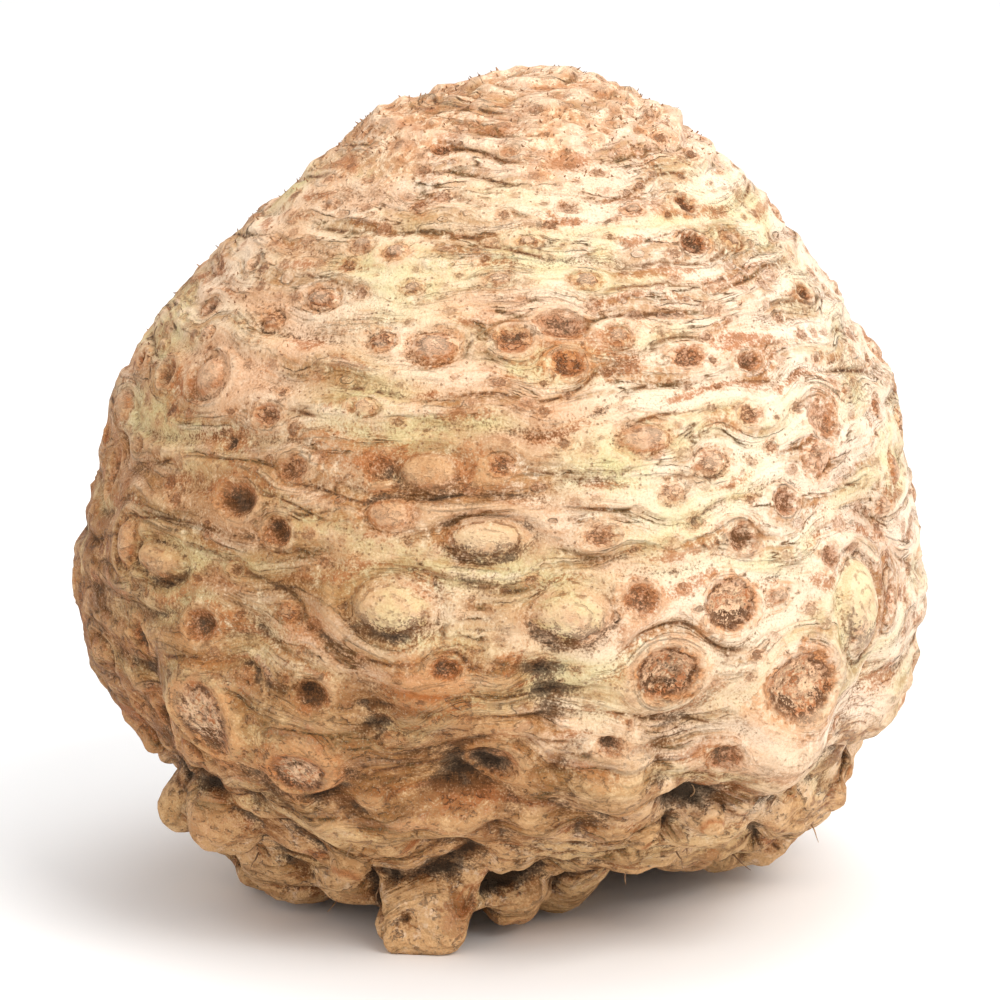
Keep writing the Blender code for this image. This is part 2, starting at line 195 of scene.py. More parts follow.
def add_base(shape, azimuth, distance, height, across, outward, up, tip):
    """Adds one thick root base, a rounded lump pressed against the bulb's underside."""
    turn = math.radians(azimuth)
    centre = Vector((math.sin(turn) * distance, -math.cos(turn) * distance, height))
    place = (Matrix.Translation(centre) @ Matrix.Rotation(turn, 4, "Z")
             @ Matrix.Rotation(math.radians(tip), 4, "X") @ Matrix.Diagonal((across, outward, up, 1.0)))
    bmesh.ops.create_icosphere(shape, subdivisions=3, radius=1.0, matrix=place)


def add_root_bases(shape, draw):
    """Adds the bases in the photograph, a ring behind, knuckles over it, and the main root's knobs."""
    for base in ROOT_BASES:
        add_base(shape, *base)
    for number in range(BACK_BASES):
        azimuth = BACK_BASE_FROM + number * BACK_BASE_STEP
        half_height = draw.uniform(*BACK_BASE_HALF_HEIGHT)
        add_base(shape, azimuth, draw.uniform(*BACK_BASE_DISTANCE), half_height - BASE_SUNK,
                 draw.uniform(*BACK_BASE_WIDTH), draw.uniform(*BACK_BASE_WIDTH), half_height, 0)
    for azimuth in BACK_KNUCKLES:
        add_base(shape, azimuth + draw.uniform(-KNUCKLE_STRAY, KNUCKLE_STRAY),
                 draw.uniform(*KNUCKLE_DISTANCE), draw.uniform(*KNUCKLE_HEIGHT),
                 *(draw.uniform(*sizes) for sizes in KNUCKLE_SIZES), KNUCKLE_LEAN)
    for number in range(TAPROOT_KNOBS):
        azimuth = number * 360 / TAPROOT_KNOBS + draw.uniform(-TAPROOT_STRAY, TAPROOT_STRAY)
        add_base(shape, azimuth, draw.uniform(*TAPROOT_DISTANCE), TAPROOT_HEIGHT,
                 *(draw.uniform(*sizes) for sizes in TAPROOT_SIZES), 0)


def add_stub(shape, azimuth, height, radius, length, droop):
    """Adds a trimmed side root, a tapered rod with a blunt cut, and returns its end, way and radius."""
    point, _, _, out = on_wall(azimuth, height)
    way = (Vector(out) + Vector((0, 0, -droop))).normalized()
    turn = Vector((0, 0, 1)).rotation_difference(way).to_matrix().to_4x4()
    middle = Vector(point) + way * (length / 2 - STUB_SUNK)
    bmesh.ops.create_cone(shape, cap_ends=True, segments=STUB_SIDES, depth=length,
                          radius1=radius * STUB_FLARE, radius2=radius,
                          matrix=Matrix.Translation(middle) @ turn)
    return np.array(middle + way * length / 2), np.array(way), radius


def add_stubs(shape, draw):
    """Adds the trimmed side roots, in front as listed and behind by a rule, and returns their cut ends."""
    ends = []
    for azimuth, height, radius in FRONT_STUBS:
        ends.append(add_stub(shape, azimuth, height, radius, FRONT_STUB_LENGTH, FRONT_STUB_DROOP))
    for number in range(BACK_STUBS):
        azimuth = BACK_STUBS_FROM + (BACK_STUBS_TO - BACK_STUBS_FROM) * number / BACK_STUBS
        ends.append(add_stub(shape, azimuth + draw.uniform(-BACK_STUB_STRAY, BACK_STUB_STRAY),
                             draw.uniform(*BACK_STUB_HEIGHT), draw.uniform(*BACK_STUB_RADIUS),
                             draw.uniform(*BACK_STUB_LENGTH), draw.uniform(*BACK_STUB_DROOP)))
    return ends


# The root scars and growth rings.
# A fine root once stood in each scar. The large scars low on the bulb are open discs, lidded eyes
# and dark pits, and they grow smaller and closer towards the crown. The rings of growth run level
# round the bulb and part round every scar, as grain does round a knot.
# LARGE_SCARS: azimuth, height, half width, half height and kind, on the side photographed.
DISC, EYE, PIT = "disc", "eye", "pit"
LARGE_SCARS = (
    (22, 48, 4.9, 3.9, DISC), (42, 44, 5.9, 4.6, DISC), (31, 57, 4.4, 3.8, DISC), (18, 59, 2.8, 2.4, PIT),
    (-42, 40, 4.9, 5.4, DISC), (-14, 58, 5.6, 4.2, EYE), (9, 57, 5.2, 3.8, EYE), (54, 53, 4.6, 6.2, EYE),
    (65, 52, 2.0, 3.4, DISC), (34, 66, 2.6, 2.3, PIT), (43, 70, 2.1, 2.0, PIT), (49, 61, 1.7, 1.7, PIT),
    (-31, 67, 2.3, 2.2, PIT), (-39, 71, 3.8, 2.4, PIT), (-74, 69, 2.4, 3.6, PIT), (-60, 61, 3.0, 3.2, EYE),
    (-30, 76, 2.7, 2.0, DISC), (-10, 77, 4.4, 2.7, EYE), (-17, 77, 1.9, 1.9, PIT), (1, 94, 2.7, 2.3, DISC),
    (10, 91, 2.5, 2.1, DISC), (9, 96, 3.6, 2.2, PIT), (43, 105, 2.4, 1.9, PIT), (48, 110, 1.9, 1.9, PIT),
    (-12, 93, 3.3, 2.2, EYE), (-52, 86, 3.2, 2.8, EYE), (-37, 98, 2.6, 1.6, EYE), (31, 91, 2.8, 1.7, DISC),
    (54, 80, 3.2, 2.9, DISC), (51, 75, 2.8, 2.4, EYE), (31, 77, 2.6, 1.9, EYE), (-2, 68, 5.2, 2.8, EYE),
    (-15, 71, 3.1, 2.2, EYE), (21, 81, 3.8, 2.0, EYE), (-58, 47, 2.6, 2.8, PIT), (-60, 33, 3.0, 3.2, PIT),
    (39, 57, 2.0, 1.2, EYE), (-7, 50, 2.2, 1.6, PIT), (-52, 60, 4.6, 2.6, EYE),
)
# How far each kind's inside, rim and surround rise, in millimetres, where they lie as shares of the
# scar's own size, and how quickly they fade.
SCAR_RELIEF = {DISC: (-0.9, 0.6, 0.0), EYE: (1.0, -0.6, 0.45), PIT: (-1.5, 0.45, 0.0)}
SCAR_INSIDE_REACH = 0.85
SCAR_RIM_PLACE = (1.2, 0.22)
SCAR_SURROUND_PLACE = (1.7, 0.3)
SCAR_REFERENCE = 4.0
SCAR_GROWTH = 0.6
SCAR_ROWS = 17
ROW_FROM = 34.0
ROW_TO = 122.0
ROW_JITTER = 2.2
LOWEST_ROW_SCAR = 4.2
ROW_SHRINK = 2.9
ROW_EASE = 0.7
ROW_SPACING = 6.2
ROW_STRAY = 0.33
ROW_SCAR_WIDTHS = (0.45, 1.15)
ROW_SCAR_FLATNESS = (0.55, 0.9)
ROW_KINDS = (DISC, EYE, EYE, PIT)
SCAR_ROOM = 1.5
SMALLEST_RELIEF_SCAR = 1.35
FAR_AWAY = 99.0
RING_SPACING = 6.2
RING_WANDER = 1.4
RING_WANDER_NOISE = (24, 3)
CREASE_DEPTH = 0.6
CREASE_WIDTH = 0.13
CREASE_FADE = (26.0, 44.0)
CREASE_NOISE = (19, 5)
CREASE_STRETCH = (1, 1, 2.2)
CREASE_MEAN = 0.6
CREASE_SWING = 1.3
FAINTEST_CREASE = 0.15
RING_BEND = 1.5
BEND_FROM = 2.5
SCAR_REACH = 5.0
FINE_SCARS = 3200
FINE_SCAR_HEIGHTS = (40.0, 125.0)
FINE_SCAR_SIZES = (0.4, 1.5)
FINE_SCAR_FLATNESS = (0.5, 0.9)
FINE_SCAR_ROOM = 0.4


def scar_rows(draw):
    """Every root scar of the wall: the large ones, then rows, smaller and closer towards the crown."""
    scars = [(*scar, on_wall(scar[0], scar[1])) for scar in LARGE_SCARS]
    for row in range(SCAR_ROWS):
        share = row / (SCAR_ROWS - 1)
        height = ROW_FROM + (ROW_TO - ROW_FROM) * share
        size = LOWEST_ROW_SCAR - ROW_SHRINK * share**ROW_EASE
        count = round(2 * math.pi * wall_radius(height) / (size * ROW_SPACING))
        for number in range(count):
            stray = draw.uniform(-ROW_STRAY, ROW_STRAY)
            azimuth = (number + 0.5 * (row % 2)) * 360 / count + stray * 360 / count
            wide = size * draw.uniform(*ROW_SCAR_WIDTHS)
            high = wide * draw.uniform(*ROW_SCAR_FLATNESS)
            kind = draw.choice(ROW_KINDS)
            frame_there = on_wall(azimuth, height + draw.uniform(-ROW_JITTER, ROW_JITTER))
            if all(np.linalg.norm(frame_there[0] - other[5][0]) > SCAR_ROOM * (wide + other[2])
                   for other in scars):
                scars.append((azimuth, height, wide, high, kind, frame_there))
    return scars


def local_place(points, frame_there, wide, high):
    """The points near a scar, and their places in it: along, up, and distance, which is 1 at its edge."""
    centre, around, up, _ = frame_there
    reach = SCAR_REACH * max(wide, high)
    close = np.flatnonzero(np.abs(points[:, 2] - centre[2]) < reach)
    offset = points[close] - centre
    within = np.linalg.norm(offset, axis=1) < reach
    close = close[within]
    along = offset[within] @ around / wide
    rise = offset[within] @ up / high
    return close, along, rise, np.hypot(along, rise)


def bell(value, middle_width):
    """1 at the middle of a bell curve of a width, and close to 0 from twice that width away on."""
    middle, width = middle_width
    return np.exp(-(((value - middle) / width) ** 2))


def scar_relief(points, scars):
    """How far the scars raise or sink the wall at each point, in millimetres."""
    relief = np.zeros(len(points))
    for _, _, wide, high, kind, frame_there in scars:
        if wide < SMALLEST_RELIEF_SCAR:
            continue
        close, _, _, distance = local_place(points, frame_there, wide, high)
        inside, rim, surround = SCAR_RELIEF[kind]
        strength = (wide / SCAR_REFERENCE) ** SCAR_GROWTH
        relief[close] += strength * (inside * np.exp(-((distance / SCAR_INSIDE_REACH) ** 4))
                                     + rim * bell(distance, SCAR_RIM_PLACE)
                                     + surround * bell(distance, SCAR_SURROUND_PLACE))
    return relief


def ring_lines(points, scars):
    """A height along the wall whose level lines are the growth rings, which part round each scar."""
    middle = points - np.array([0, 0, CORE_HEIGHT])
    middle[:, 0] -= lean(points[:, 2])
    level = BULB_RADIUS * np.arctan2(np.hypot(middle[:, 0], middle[:, 1]), middle[:, 2])
    for _, _, wide, high, _, frame_there in scars:
        close, _, rise, distance = local_place(points, frame_there, wide, high)
        level[close] += (RING_BEND * high * rise / np.maximum(distance, 1.0) ** 2
                         * ramp(distance, (SCAR_REACH, BEND_FROM)))
    return level


def ring_phase(points, level):
    """The number of growth rings counted up to each point. A crease runs along every whole number."""
    return level / RING_SPACING + RING_WANDER * noise_field(points, *RING_WANDER_NOISE)


def ring_creases(points, phase):
    """1 in the middle of the crease between two growth rings, 0 away from it, fading in and out."""
    gap = np.abs((phase + 0.5) % 1 - 0.5)
    strength = CREASE_MEAN + CREASE_SWING * noise_field(points * CREASE_STRETCH, *CREASE_NOISE)
    strength = np.clip(strength, FAINTEST_CREASE, 1)
    return ramp(points[:, 2], CREASE_FADE) * strength * bell(gap, (0, CREASE_WIDTH))


def fine_scars(scars, draw):
    """The finest scars, which only colour the skin, in the room between the others."""
    centres = np.array([scar[5][0] for scar in scars])
    widths = np.array([scar[2] for scar in scars])
    found = []
    for _ in range(FINE_SCARS):
        azimuth = draw.uniform(-180, 180)
        height = draw.uniform(*FINE_SCAR_HEIGHTS)
        wide = draw.uniform(*FINE_SCAR_SIZES)
        frame_there = on_wall(azimuth, height)
        room = np.linalg.norm(centres - frame_there[0], axis=1) - widths - wide
        if room.min() > FINE_SCAR_ROOM:
            found.append((azimuth, height, wide, wide * draw.uniform(*FINE_SCAR_FLATNESS), PIT,
                          frame_there))
            centres = np.vstack([centres, frame_there[0]])
            widths = np.append(widths, wide)
    return found


def nearest_scar(points, scars):
    """Each point's place in the scar whose edge is nearest, that scar's number, the gap between the
    point and its edge, and how much further the next scar is."""
    nearest = np.full(len(points), FAR_AWAY)
    second = np.full(len(points), FAR_AWAY)
    place = np.full((len(points), 2), FAR_AWAY)
    which = np.zeros(len(points), dtype=int)
    for number, (_, _, wide, high, _, frame_there) in enumerate(scars):
        close, along, rise, distance = local_place(points, frame_there, wide, high)
        gap = (distance - 1) * math.sqrt(wide * high)
        closer = gap < nearest[close]
        second[close] = np.minimum(second[close], np.where(closer, nearest[close], gap))
        winners = close[closer]
        nearest[winners] = gap[closer]
        place[winners, 0] = along[closer]
        place[winners, 1] = rise[closer]
        which[winners] = number
    return place, which, np.minimum(nearest, FAR_AWAY), second - nearest


# The skin.
# The real skin is one with the flesh: firm, dry and dull, wrinkled along the growth rings, scaly on
# the crown and lumpy with folds among the roots. It is the lumps above fused into one mesh of small
# even faces, then raised and sunk by its relief, and cut off level where it stands.
# SWELLINGS: azimuth, height, half width, half height and rise of each bulge or hollow.
SWELLINGS = (
    (-43, 40, 11, 11, 4.4), (-27, 35, 9, 8, 3.0), (-9, 48, 9, 8, 2.6), (-6, 34, 7, 6, -3.2),
    (6, 46, 5, 8, -3.2), (43, 34, 12, 12, 5.2), (16, 32, 7, 6, 3.2), (2, 23, 13, 6, 3.2),
    (-26, 22, 15, 6, 3.0), (28, 26, 6, 5, -2.2), (-35, 52, 6, 4, -1.8), (-58, 40, 5, 8, -2.6),
    (-17, 42, 4, 6, -2.4), (24, 38, 5, 5, -1.8), (61, 38, 4, 9, -2.6), (-90, 120, 13, 5, 1.0),
    (90, 79, 12, 8, 2.0), (90, 108, 10, 9, 1.0), (-90, 31, 12, 8, 2.6), (90, 32, 12, 8, 2.0),
    (-14, 59, 9, 5, 1.2), (9, 57, 7, 5, 1.0), (-60, 62, 9, 8, 1.4), (54, 53, 8, 8, 1.6),
    (-18, 103, 9, 6, 1.0), (100, 40, 15, 13, 2.8), (128, 33, 12, 11, 3.2), (150, 44, 13, 12, 2.2),
    (176, 34, 14, 10, 3.4), (200, 46, 12, 12, 2.0), (224, 35, 13, 11, 3.0), (250, 42, 13, 12, 2.6),
    (139, 25, 5, 7, -4.0), (210, 25, 5, 7, -4.4), (162, 60, 7, 7, -2.0), (-95, 44, 12, 10, 1.6),
    (75, 36, 10, 10, 1.6), (-6.5, 9, 2.0, 9, -5.0),
)
SHAPE_SEED = 5
SCAR_SEED = 11
FINE_SCAR_SEED = 17
SKIN_VOXEL = 0.91
TRIM_MERGE = 0.02
SKIN_SMOOTHING = 9
SMOOTHING_FACTOR = 0.5
BASE_TWIST = 5.0
TWIST_SIZE = 19.0
TWIST_SEEDS = (21, 22, 23)
TWIST_FADE = (42.0, 16.0)
TWIST_FLATNESS = (1, 1, 0.5)

# Uneven growth, as layers of noise: feature size, strength in millimetres, and seed.
WALL_WAVES = ((34, 1.3, 7), (13, 0.7, 8))
ROOT_WAVES = ((10, 1.4, 9), (5, 1.1, 38))
ROOT_LUMPS = ((16, 4.0, 12), (7, 1.6, 13))
ROOT_FADE = (48.0, 22.0)
CROWN_WAVES = ((5, 1.1, 10),)
CROWN_FADE = (116.0, 124.0)
STEM_REST_PLACE = (11.0, 7.0)
STEM_REST_RISE = 1.4
FINE_WRINKLES = ((2.4, 0.5, 31), (4.4, 0.8, 32))
WRINKLE_STRETCH = (0.16, 0.16, 1.0)
FINE_GRAIN = ((2.6, 0.14, 33),)
ROOT_GRAIN = ((8.0, 1.2, 37), (4.2, 1.0, 34), (2.0, 0.6, 36))
ROOT_GRAIN_STRETCH = (0.5, 0.5, 1.0)
CROWN_CRUST = ((2.4, 0.8, 35),)
CRUST_FADE = (108.0, 122.0)


def wall_relief(points, scars, level, phase):
    """The full relief of the skin at each point, in millimetres along its normal."""
    relief = scar_relief(points, scars)
    for azimuth, height, wide, high, rise in SWELLINGS:
        close, _, _, distance = local_place(points, on_wall(azimuth, height), wide, high)
        relief[close] += rise * bell(distance, (0, 1))
    relief -= CREASE_DEPTH * ring_creases(points, phase)
    relief += waves(points, WALL_WAVES)
    rooty = ramp(points[:, 2], ROOT_FADE)
    relief += rooty * (waves(points, ROOT_WAVES) + billows(points, ROOT_LUMPS)
                       + billows(points * ROOT_GRAIN_STRETCH, ROOT_GRAIN))
    stem_rest = STEM_REST_RISE * bell(points[:, 0], STEM_REST_PLACE)
    relief += ramp(points[:, 2], CROWN_FADE) * (waves(points, CROWN_WAVES) + stem_rest)
    along_rings = np.column_stack([points[:, :2], level]) * WRINKLE_STRETCH
    relief += waves(along_rings, FINE_WRINKLES) + waves(points, FINE_GRAIN)
    return relief + ramp(points[:, 2], CRUST_FADE) * waves(points, CROWN_CRUST)


def evaluated_mesh(thing):
    """The mesh that an object has once its modifiers or its thickness are applied."""
    bpy.context.view_layer.update()
    graph = bpy.context.evaluated_depsgraph_get()
    return bpy.data.meshes.new_from_object(thing.evaluated_get(graph))


def fused(shape):
    """The lumps as one skin of even small faces."""
    mesh = bpy.data.meshes.new("lumps")
    shape.to_mesh(mesh)
    shape.free()
    lumps = bpy.data.objects.new("lumps", mesh)
    bpy.context.scene.collection.objects.link(lumps)
    fuse = lumps.modifiers.new("Fuse", "REMESH")
    fuse.mode = "VOXEL"
    fuse.voxel_size = SKIN_VOXEL
    smooth = lumps.modifiers.new("Soften", "SMOOTH")
    smooth.factor = SMOOTHING_FACTOR
    smooth.iterations = SKIN_SMOOTHING
    skin = evaluated_mesh(lumps)
    bpy.data.objects.remove(lumps)
    return skin


def read(mesh, name):
    """A vector of every vertex of the mesh, as an array."""
    values = np.empty(len(mesh.vertices) * 3)
    mesh.vertices.foreach_get(name, values)
    return values.reshape(-1, 3)


def twisted(points):
    """The points with the root bases pushed about, so that no two are alike."""
    low = ramp(points[:, 2], TWIST_FADE)[:, None]
    push = np.stack([noise_field(points, TWIST_SIZE, seed) for seed in TWIST_SEEDS], axis=1)
    return points + BASE_TWIST * low * push * TWIST_FLATNESS


def softened(values, edges, rounds):
    """Every vertex's value averaged with its neighbours' along the edges, over and over."""
    count = len(values)
    ends = np.concatenate([edges[:, 0], edges[:, 1]])
    others = np.concatenate([edges[:, 1], edges[:, 0]])
    links = np.bincount(ends, minlength=count)
    for _ in range(rounds):
        values = np.stack([np.bincount(ends, weights=column[others], minlength=count) / links
                           for column in values.T], axis=1)
    return values


# Colour stains that the photograph shows: azimuth, height, half width, half height and strength.
GREEN_STAINS = (
    (-20, 86, 7, 4, 0.9), (16, 78, 8, 5, 1.0), (12, 104, 7, 3, 0.5), (-34, 50, 7, 5, 0.6),
    (24, 68, 10, 5, 0.9), (-20, 97, 8, 3, 0.5), (6, 62, 9, 3, 0.8), (-50, 76, 7, 5, 0.5),
    (-8, 53, 8, 2.4, 0.8), (34, 74, 8, 4, 0.6), (-24, 108, 7, 3, 0.5), (-56, 60, 8, 7, 0.8),
    (-33, 40, 5, 4, 0.8), (-60, 50, 9, 3, 0.7), (14, 45, 6, 5, 0.6), (-26, 44, 6, 5, 0.6),
    (-3, 66, 7, 3, 0.7),
)
ORANGE_STAINS = (
    (-9, 48, 8, 7, 1.0), (-27, 54, 6, 4, 0.9), (-28, 33, 10, 7, 0.8), (-44, 92, 6, 4, 0.5),
    (-5, 29, 9, 6, 0.7), (27, 89, 8, 4, 0.6), (11, 93, 8, 5, 0.9), (-60, 84, 5, 6, 0.6),
    (-22, 79, 11, 5, 0.7), (38, 30, 11, 5, 0.4), (33, 92, 7, 3, 0.5), (-46, 78, 8, 5, 0.6),
    (-26, 72, 10, 4, 0.6), (2, 74, 9, 3, 0.5), (-52, 22, 12, 7, 0.6), (44, 87, 9, 3, 0.5),
    (-12, 87, 5, 3, 0.5), (1, 51, 2.4, 2, 0.9), (-20, 22, 12, 6, 0.5), (18, 22, 8, 5, 0.5),
    (60, 62, 5, 8, 0.4),
)
WEATHERED_STAINS = (
    (-8, 77, 22, 10, 1.0), (-42, 72, 18, 13, 1.0), (6, 66, 14, 6, 0.6), (-24, 60, 20, 9, 1.0),
    (-70, 78, 10, 16, 0.7), (-30, 88, 9, 5, 0.6), (2, 59, 14, 5, 0.7), (14, 58, 8, 5, 0.5),
    (8, 92, 9, 4, 0.5), (-10, 46, 14, 10, 1.0), (60, 66, 7, 10, 0.4), (12, 34, 12, 8, 0.4),
    (150, 80, 24, 12, 0.8), (190, 60, 22, 14, 0.8), (235, 84, 18, 12, 0.8), (110, 62, 14, 10, 0.6),
)
DIRT_STAINS = (
    (-7, 34, 6, 6, 0.7), (6, 46, 4.4, 6, 0.8), (-36, 69, 6, 3, 0.9), (-14, 56, 5, 3.4, 0.6),
    (28, 27, 6, 4, 0.9), (-28, 60, 6, 2, 0.7), (-8, 62, 10, 1.8, 0.7), (12, 52, 4, 2.4, 0.6),
    (-42, 38, 4, 4, 0.8), (44, 30, 3, 3, 0.6), (6, 104, 6, 1.6, 0.6), (-4, 100, 7, 1.2, 0.5),
    (-62, 31, 5, 4, 0.9), (1, 71, 9, 2.6, 0.3), (15, 56, 3, 2, 0.6), (32, 66, 6, 1.6, 0.6),
    (-16, 74, 4, 3, 0.7), (-62, 66, 3, 6, 0.7), (-46, 66, 7, 3, 0.7), (-24, 84, 8, 2, 0.6),
    (-55, 44, 5, 4, 0.7), (-30, 46, 6, 3, 0.6), (-38, 28, 9, 3, 0.8), (-72, 50, 4, 8, 0.7),
    (-48, 80, 8, 2, 0.5), (-20, 50, 7, 3, 0.6), (4, 82, 8, 1.8, 0.5), (-58, 22, 8, 4, 0.8),
    (12, 22, 9, 3, 0.6), (48, 24, 8, 3, 0.6), (-50, 30, 5, 7, 0.5), (20, 33, 7, 2, 0.5),
)


def stained(points, stains):
    """How strongly the stains of a list colour each point, from 0 to 1."""
    total = np.zeros(len(points))
    for azimuth, height, wide, high, strength in stains:
        close, _, _, distance = local_place(points, on_wall(azimuth, height), wide, high)
        total[close] = np.maximum(total[close], strength * bell(distance, (0, 1)))
    return total


# What the finish reads on each vertex. A NOISE is a feature size in millimetres and a seed, and a FADE
# is the values at which it is 0 and 1.
GRAIN_SWAY = 2.4
LOW_SWAY = 1.5
SWAY_NOISE = (9, 50)
GRAIN_STRETCH = (0.32, 0.32, 1.0)
PHASE_SWAY = 0.05
FINE_ROUNDS = 6
BROAD_ROUNDS = 50
FINE_HOLLOW = 1.2
BROAD_HOLLOW = 0.34
ROOT_HOLLOW = 0.5
LOW_WAY = (0.24, 0.0, 1.0)
LOW_WANDER = 14.0
LOW_NOISE = (14, 48)
LOW_FADE = (56.0, 34.0)
# The shaded side: painted shade, darker towards the lower left, away from the light.
SHADED_SIDE_WAY = (-0.7, 0.1, -0.75)
SHADED_SIDE_WANDER = 30.0
SHADED_SIDE_NOISE = (22, 52)
SHADED_SIDE_FADE = (-64.0, 4.0)
# The lit side: painted light, paler towards the upper right, where the light falls.
LIGHT_SIDE_WAY = (0.8, -0.1, 0.35)
LIGHT_SIDE_WANDER = 14.0
LIGHT_SIDE_NOISE = (18, 53)
LIGHT_SIDE_FADE = (18.0, 66.0)
UPWARDS = (0.0, 0.0, 1.0)
CROWN_WANDER = 6.0
CROWN_NOISE = (9, 49)
CROWN_COLOUR_FADE = (106.0, 121.0)
OWN_GREEN = 0.7
LOW_GREEN = 0.6
OWN_GREEN_NOISE = (7, 43)
OWN_GREEN_FADE = (0.05, 0.4)
IVORY_NOISE = (15, 41)
IVORY_FADE = (-0.15, 0.35)
PEACH_NOISE = (6, 42)
PEACH_FADE = (-0.2, 0.35)
TAN_NOISE = (3.2, 44)
TAN_FADE = (0.0, 0.45)
CREASE_HERE_NOISE = (4.5, 46)
CREASE_HERE_FADE = (-0.25, 0.45)
SCAB_NOISE = (3.0, 45)
SCAB_FADE = (0.12, 0.5)
CUT_NEAR = 1.4
CUT_PAST = 2.0
CUT_REACH = 1.3


def cut_ends(points, ends):
    """1 on the trimmed stumps' cut faces, and how far out each point lies on the cut."""
    cut = np.zeros(len(points))
    out = np.full(len(points), CUT_PAST)
    for end, way, radius in ends:
        offset = points - end
        along = offset @ way
        radial = np.linalg.norm(offset - along[:, None] * way, axis=1) / radius
        on_it = (along > -CUT_NEAR) & (along < CUT_PAST) & (radial < CUT_REACH)
        cut[on_it] = 1
        out[on_it] = radial[on_it]
    return cut, out


def keep(mesh, name, *columns):
    """Stores a value, or a vector, on every vertex of the mesh for its finish to read."""
    kind = "FLOAT" if len(columns) == 1 else "FLOAT_VECTOR"
    layer = mesh.attributes.new(name, kind, "POINT")
    values = np.stack(columns, axis=1).astype(np.float32)
    layer.data.foreach_set("value" if kind == "FLOAT" else "vector", values.ravel())


def drift(points, way, wander, noise_layer, fade):
    """0 to 1 along a way through the bulb, with an edge that wanders by a layer of noise."""
    return ramp(points @ way + wander * noise_field(points, *noise_layer), fade)


def shaped_skin():
    """The skin's mesh at its place, with what its finish needs to know on every vertex."""
    draw = random.Random(SHAPE_SEED)
    shape = turned_bulb()
    add_root_bases(shape, draw)
    ends = add_stubs(shape, draw)
    mesh = fused(shape)
    points = read(mesh, "co")
    normals = read(mesh, "normal")
    scars = scar_rows(random.Random(SCAR_SEED))
    level = ring_lines(points, scars)
    phase = ring_phase(points, level)
    raised = twisted(points) + normals * wall_relief(points, scars, level, phase)[:, None]
    mesh.vertices.foreach_set("co", raised.ravel())
    mesh.update()

    edges = np.empty(len(mesh.edges) * 2, dtype=np.int32)
    mesh.edges.foreach_get("vertices", edges)
    edges = edges.reshape(-1, 2)
    normals = read(mesh, "normal")
    near = softened(raised, edges, FINE_ROUNDS)
    wide = softened(near, edges, BROAD_ROUNDS)
    fine_hollow = np.einsum("ij,ij->i", near - raised, normals)
    broad_hollow = np.einsum("ij,ij->i", wide - raised, normals)
    broad_hollow *= 1 + ROOT_HOLLOW * ramp(points[:, 2], ROOT_FADE)

    scars += fine_scars(scars, random.Random(FINE_SCAR_SEED))
    place, which, gap, clearance = nearest_scar(points, scars)
    kinds = np.array([[scar[4] == name for name in (DISC, EYE, PIT)] for scar in scars], float)
    sizes = np.array([math.sqrt(wide * high) for _, _, wide, high, _, _ in scars])
    chance = np.array([random.Random(number).random() for number in range(len(scars))])
    cut, cut_out = cut_ends(points, ends)
    low = drift(points, LOW_WAY, LOW_WANDER, LOW_NOISE, LOW_FADE)
    # Painted shade towards the lower left, away from the light, joined with the weathered stains.
    weathered_and_shaded = drift(points, SHADED_SIDE_WAY, SHADED_SIDE_WANDER, SHADED_SIDE_NOISE, SHADED_SIDE_FADE)
    weathered_and_shaded = np.maximum(weathered_and_shaded, stained(points, WEATHERED_STAINS))
    # Painted light: a share that grows towards the upper right, where the light falls.
    lit_side_share = drift(points, LIGHT_SIDE_WAY, LIGHT_SIDE_WANDER, LIGHT_SIDE_NOISE, LIGHT_SIDE_FADE)
    crown = drift(points, UPWARDS, CROWN_WANDER, CROWN_NOISE, CROWN_COLOUR_FADE)
    sway = GRAIN_SWAY * (1 + LOW_SWAY * low) * noise_field(points, *SWAY_NOISE)
    flow = np.column_stack([points[:, :2], level + sway])
    long_flow = flow * GRAIN_STRETCH
    own_green = OWN_GREEN * ramp(noise_field(long_flow, *OWN_GREEN_NOISE), OWN_GREEN_FADE)
    green = np.maximum(own_green, stained(points, GREEN_STAINS)) * (1 - LOW_GREEN * low)
    keep(mesh, "grain", *flow.T)
    keep(mesh, "phase", phase + sway * PHASE_SWAY)
    # The weathering with its painted shade, each point's distance from a scar's edge, and the painted light
    # of the lit side.
    keep(mesh, "wear_and_light", weathered_and_shaded, 1 + gap / sizes[which], lit_side_share)
    keep(mesh, "scar_place", place[:, 0], place[:, 1], chance[which])
    keep(mesh, "scar_kind", *kinds[which].T)
    keep(mesh, "scar_size", sizes[which], clearance, low)
    keep(mesh, "hollow", FINE_HOLLOW * fine_hollow + BROAD_HOLLOW * broad_hollow, cut, cut_out)
    keep(mesh, "stain", green, stained(points, ORANGE_STAINS), stained(points, DIRT_STAINS))
    keep(mesh, "tint", ramp(noise_field(points, *IVORY_NOISE), IVORY_FADE),
         ramp(noise_field(long_flow, *PEACH_NOISE), PEACH_FADE),
         ramp(noise_field(long_flow, *TAN_NOISE), TAN_FADE))
    keep(mesh, "presence", ramp(noise_field(long_flow, *CREASE_HERE_NOISE), CREASE_HERE_FADE),
         ramp(noise_field(long_flow, *SCAB_NOISE), SCAB_FADE), crown)
    return mesh


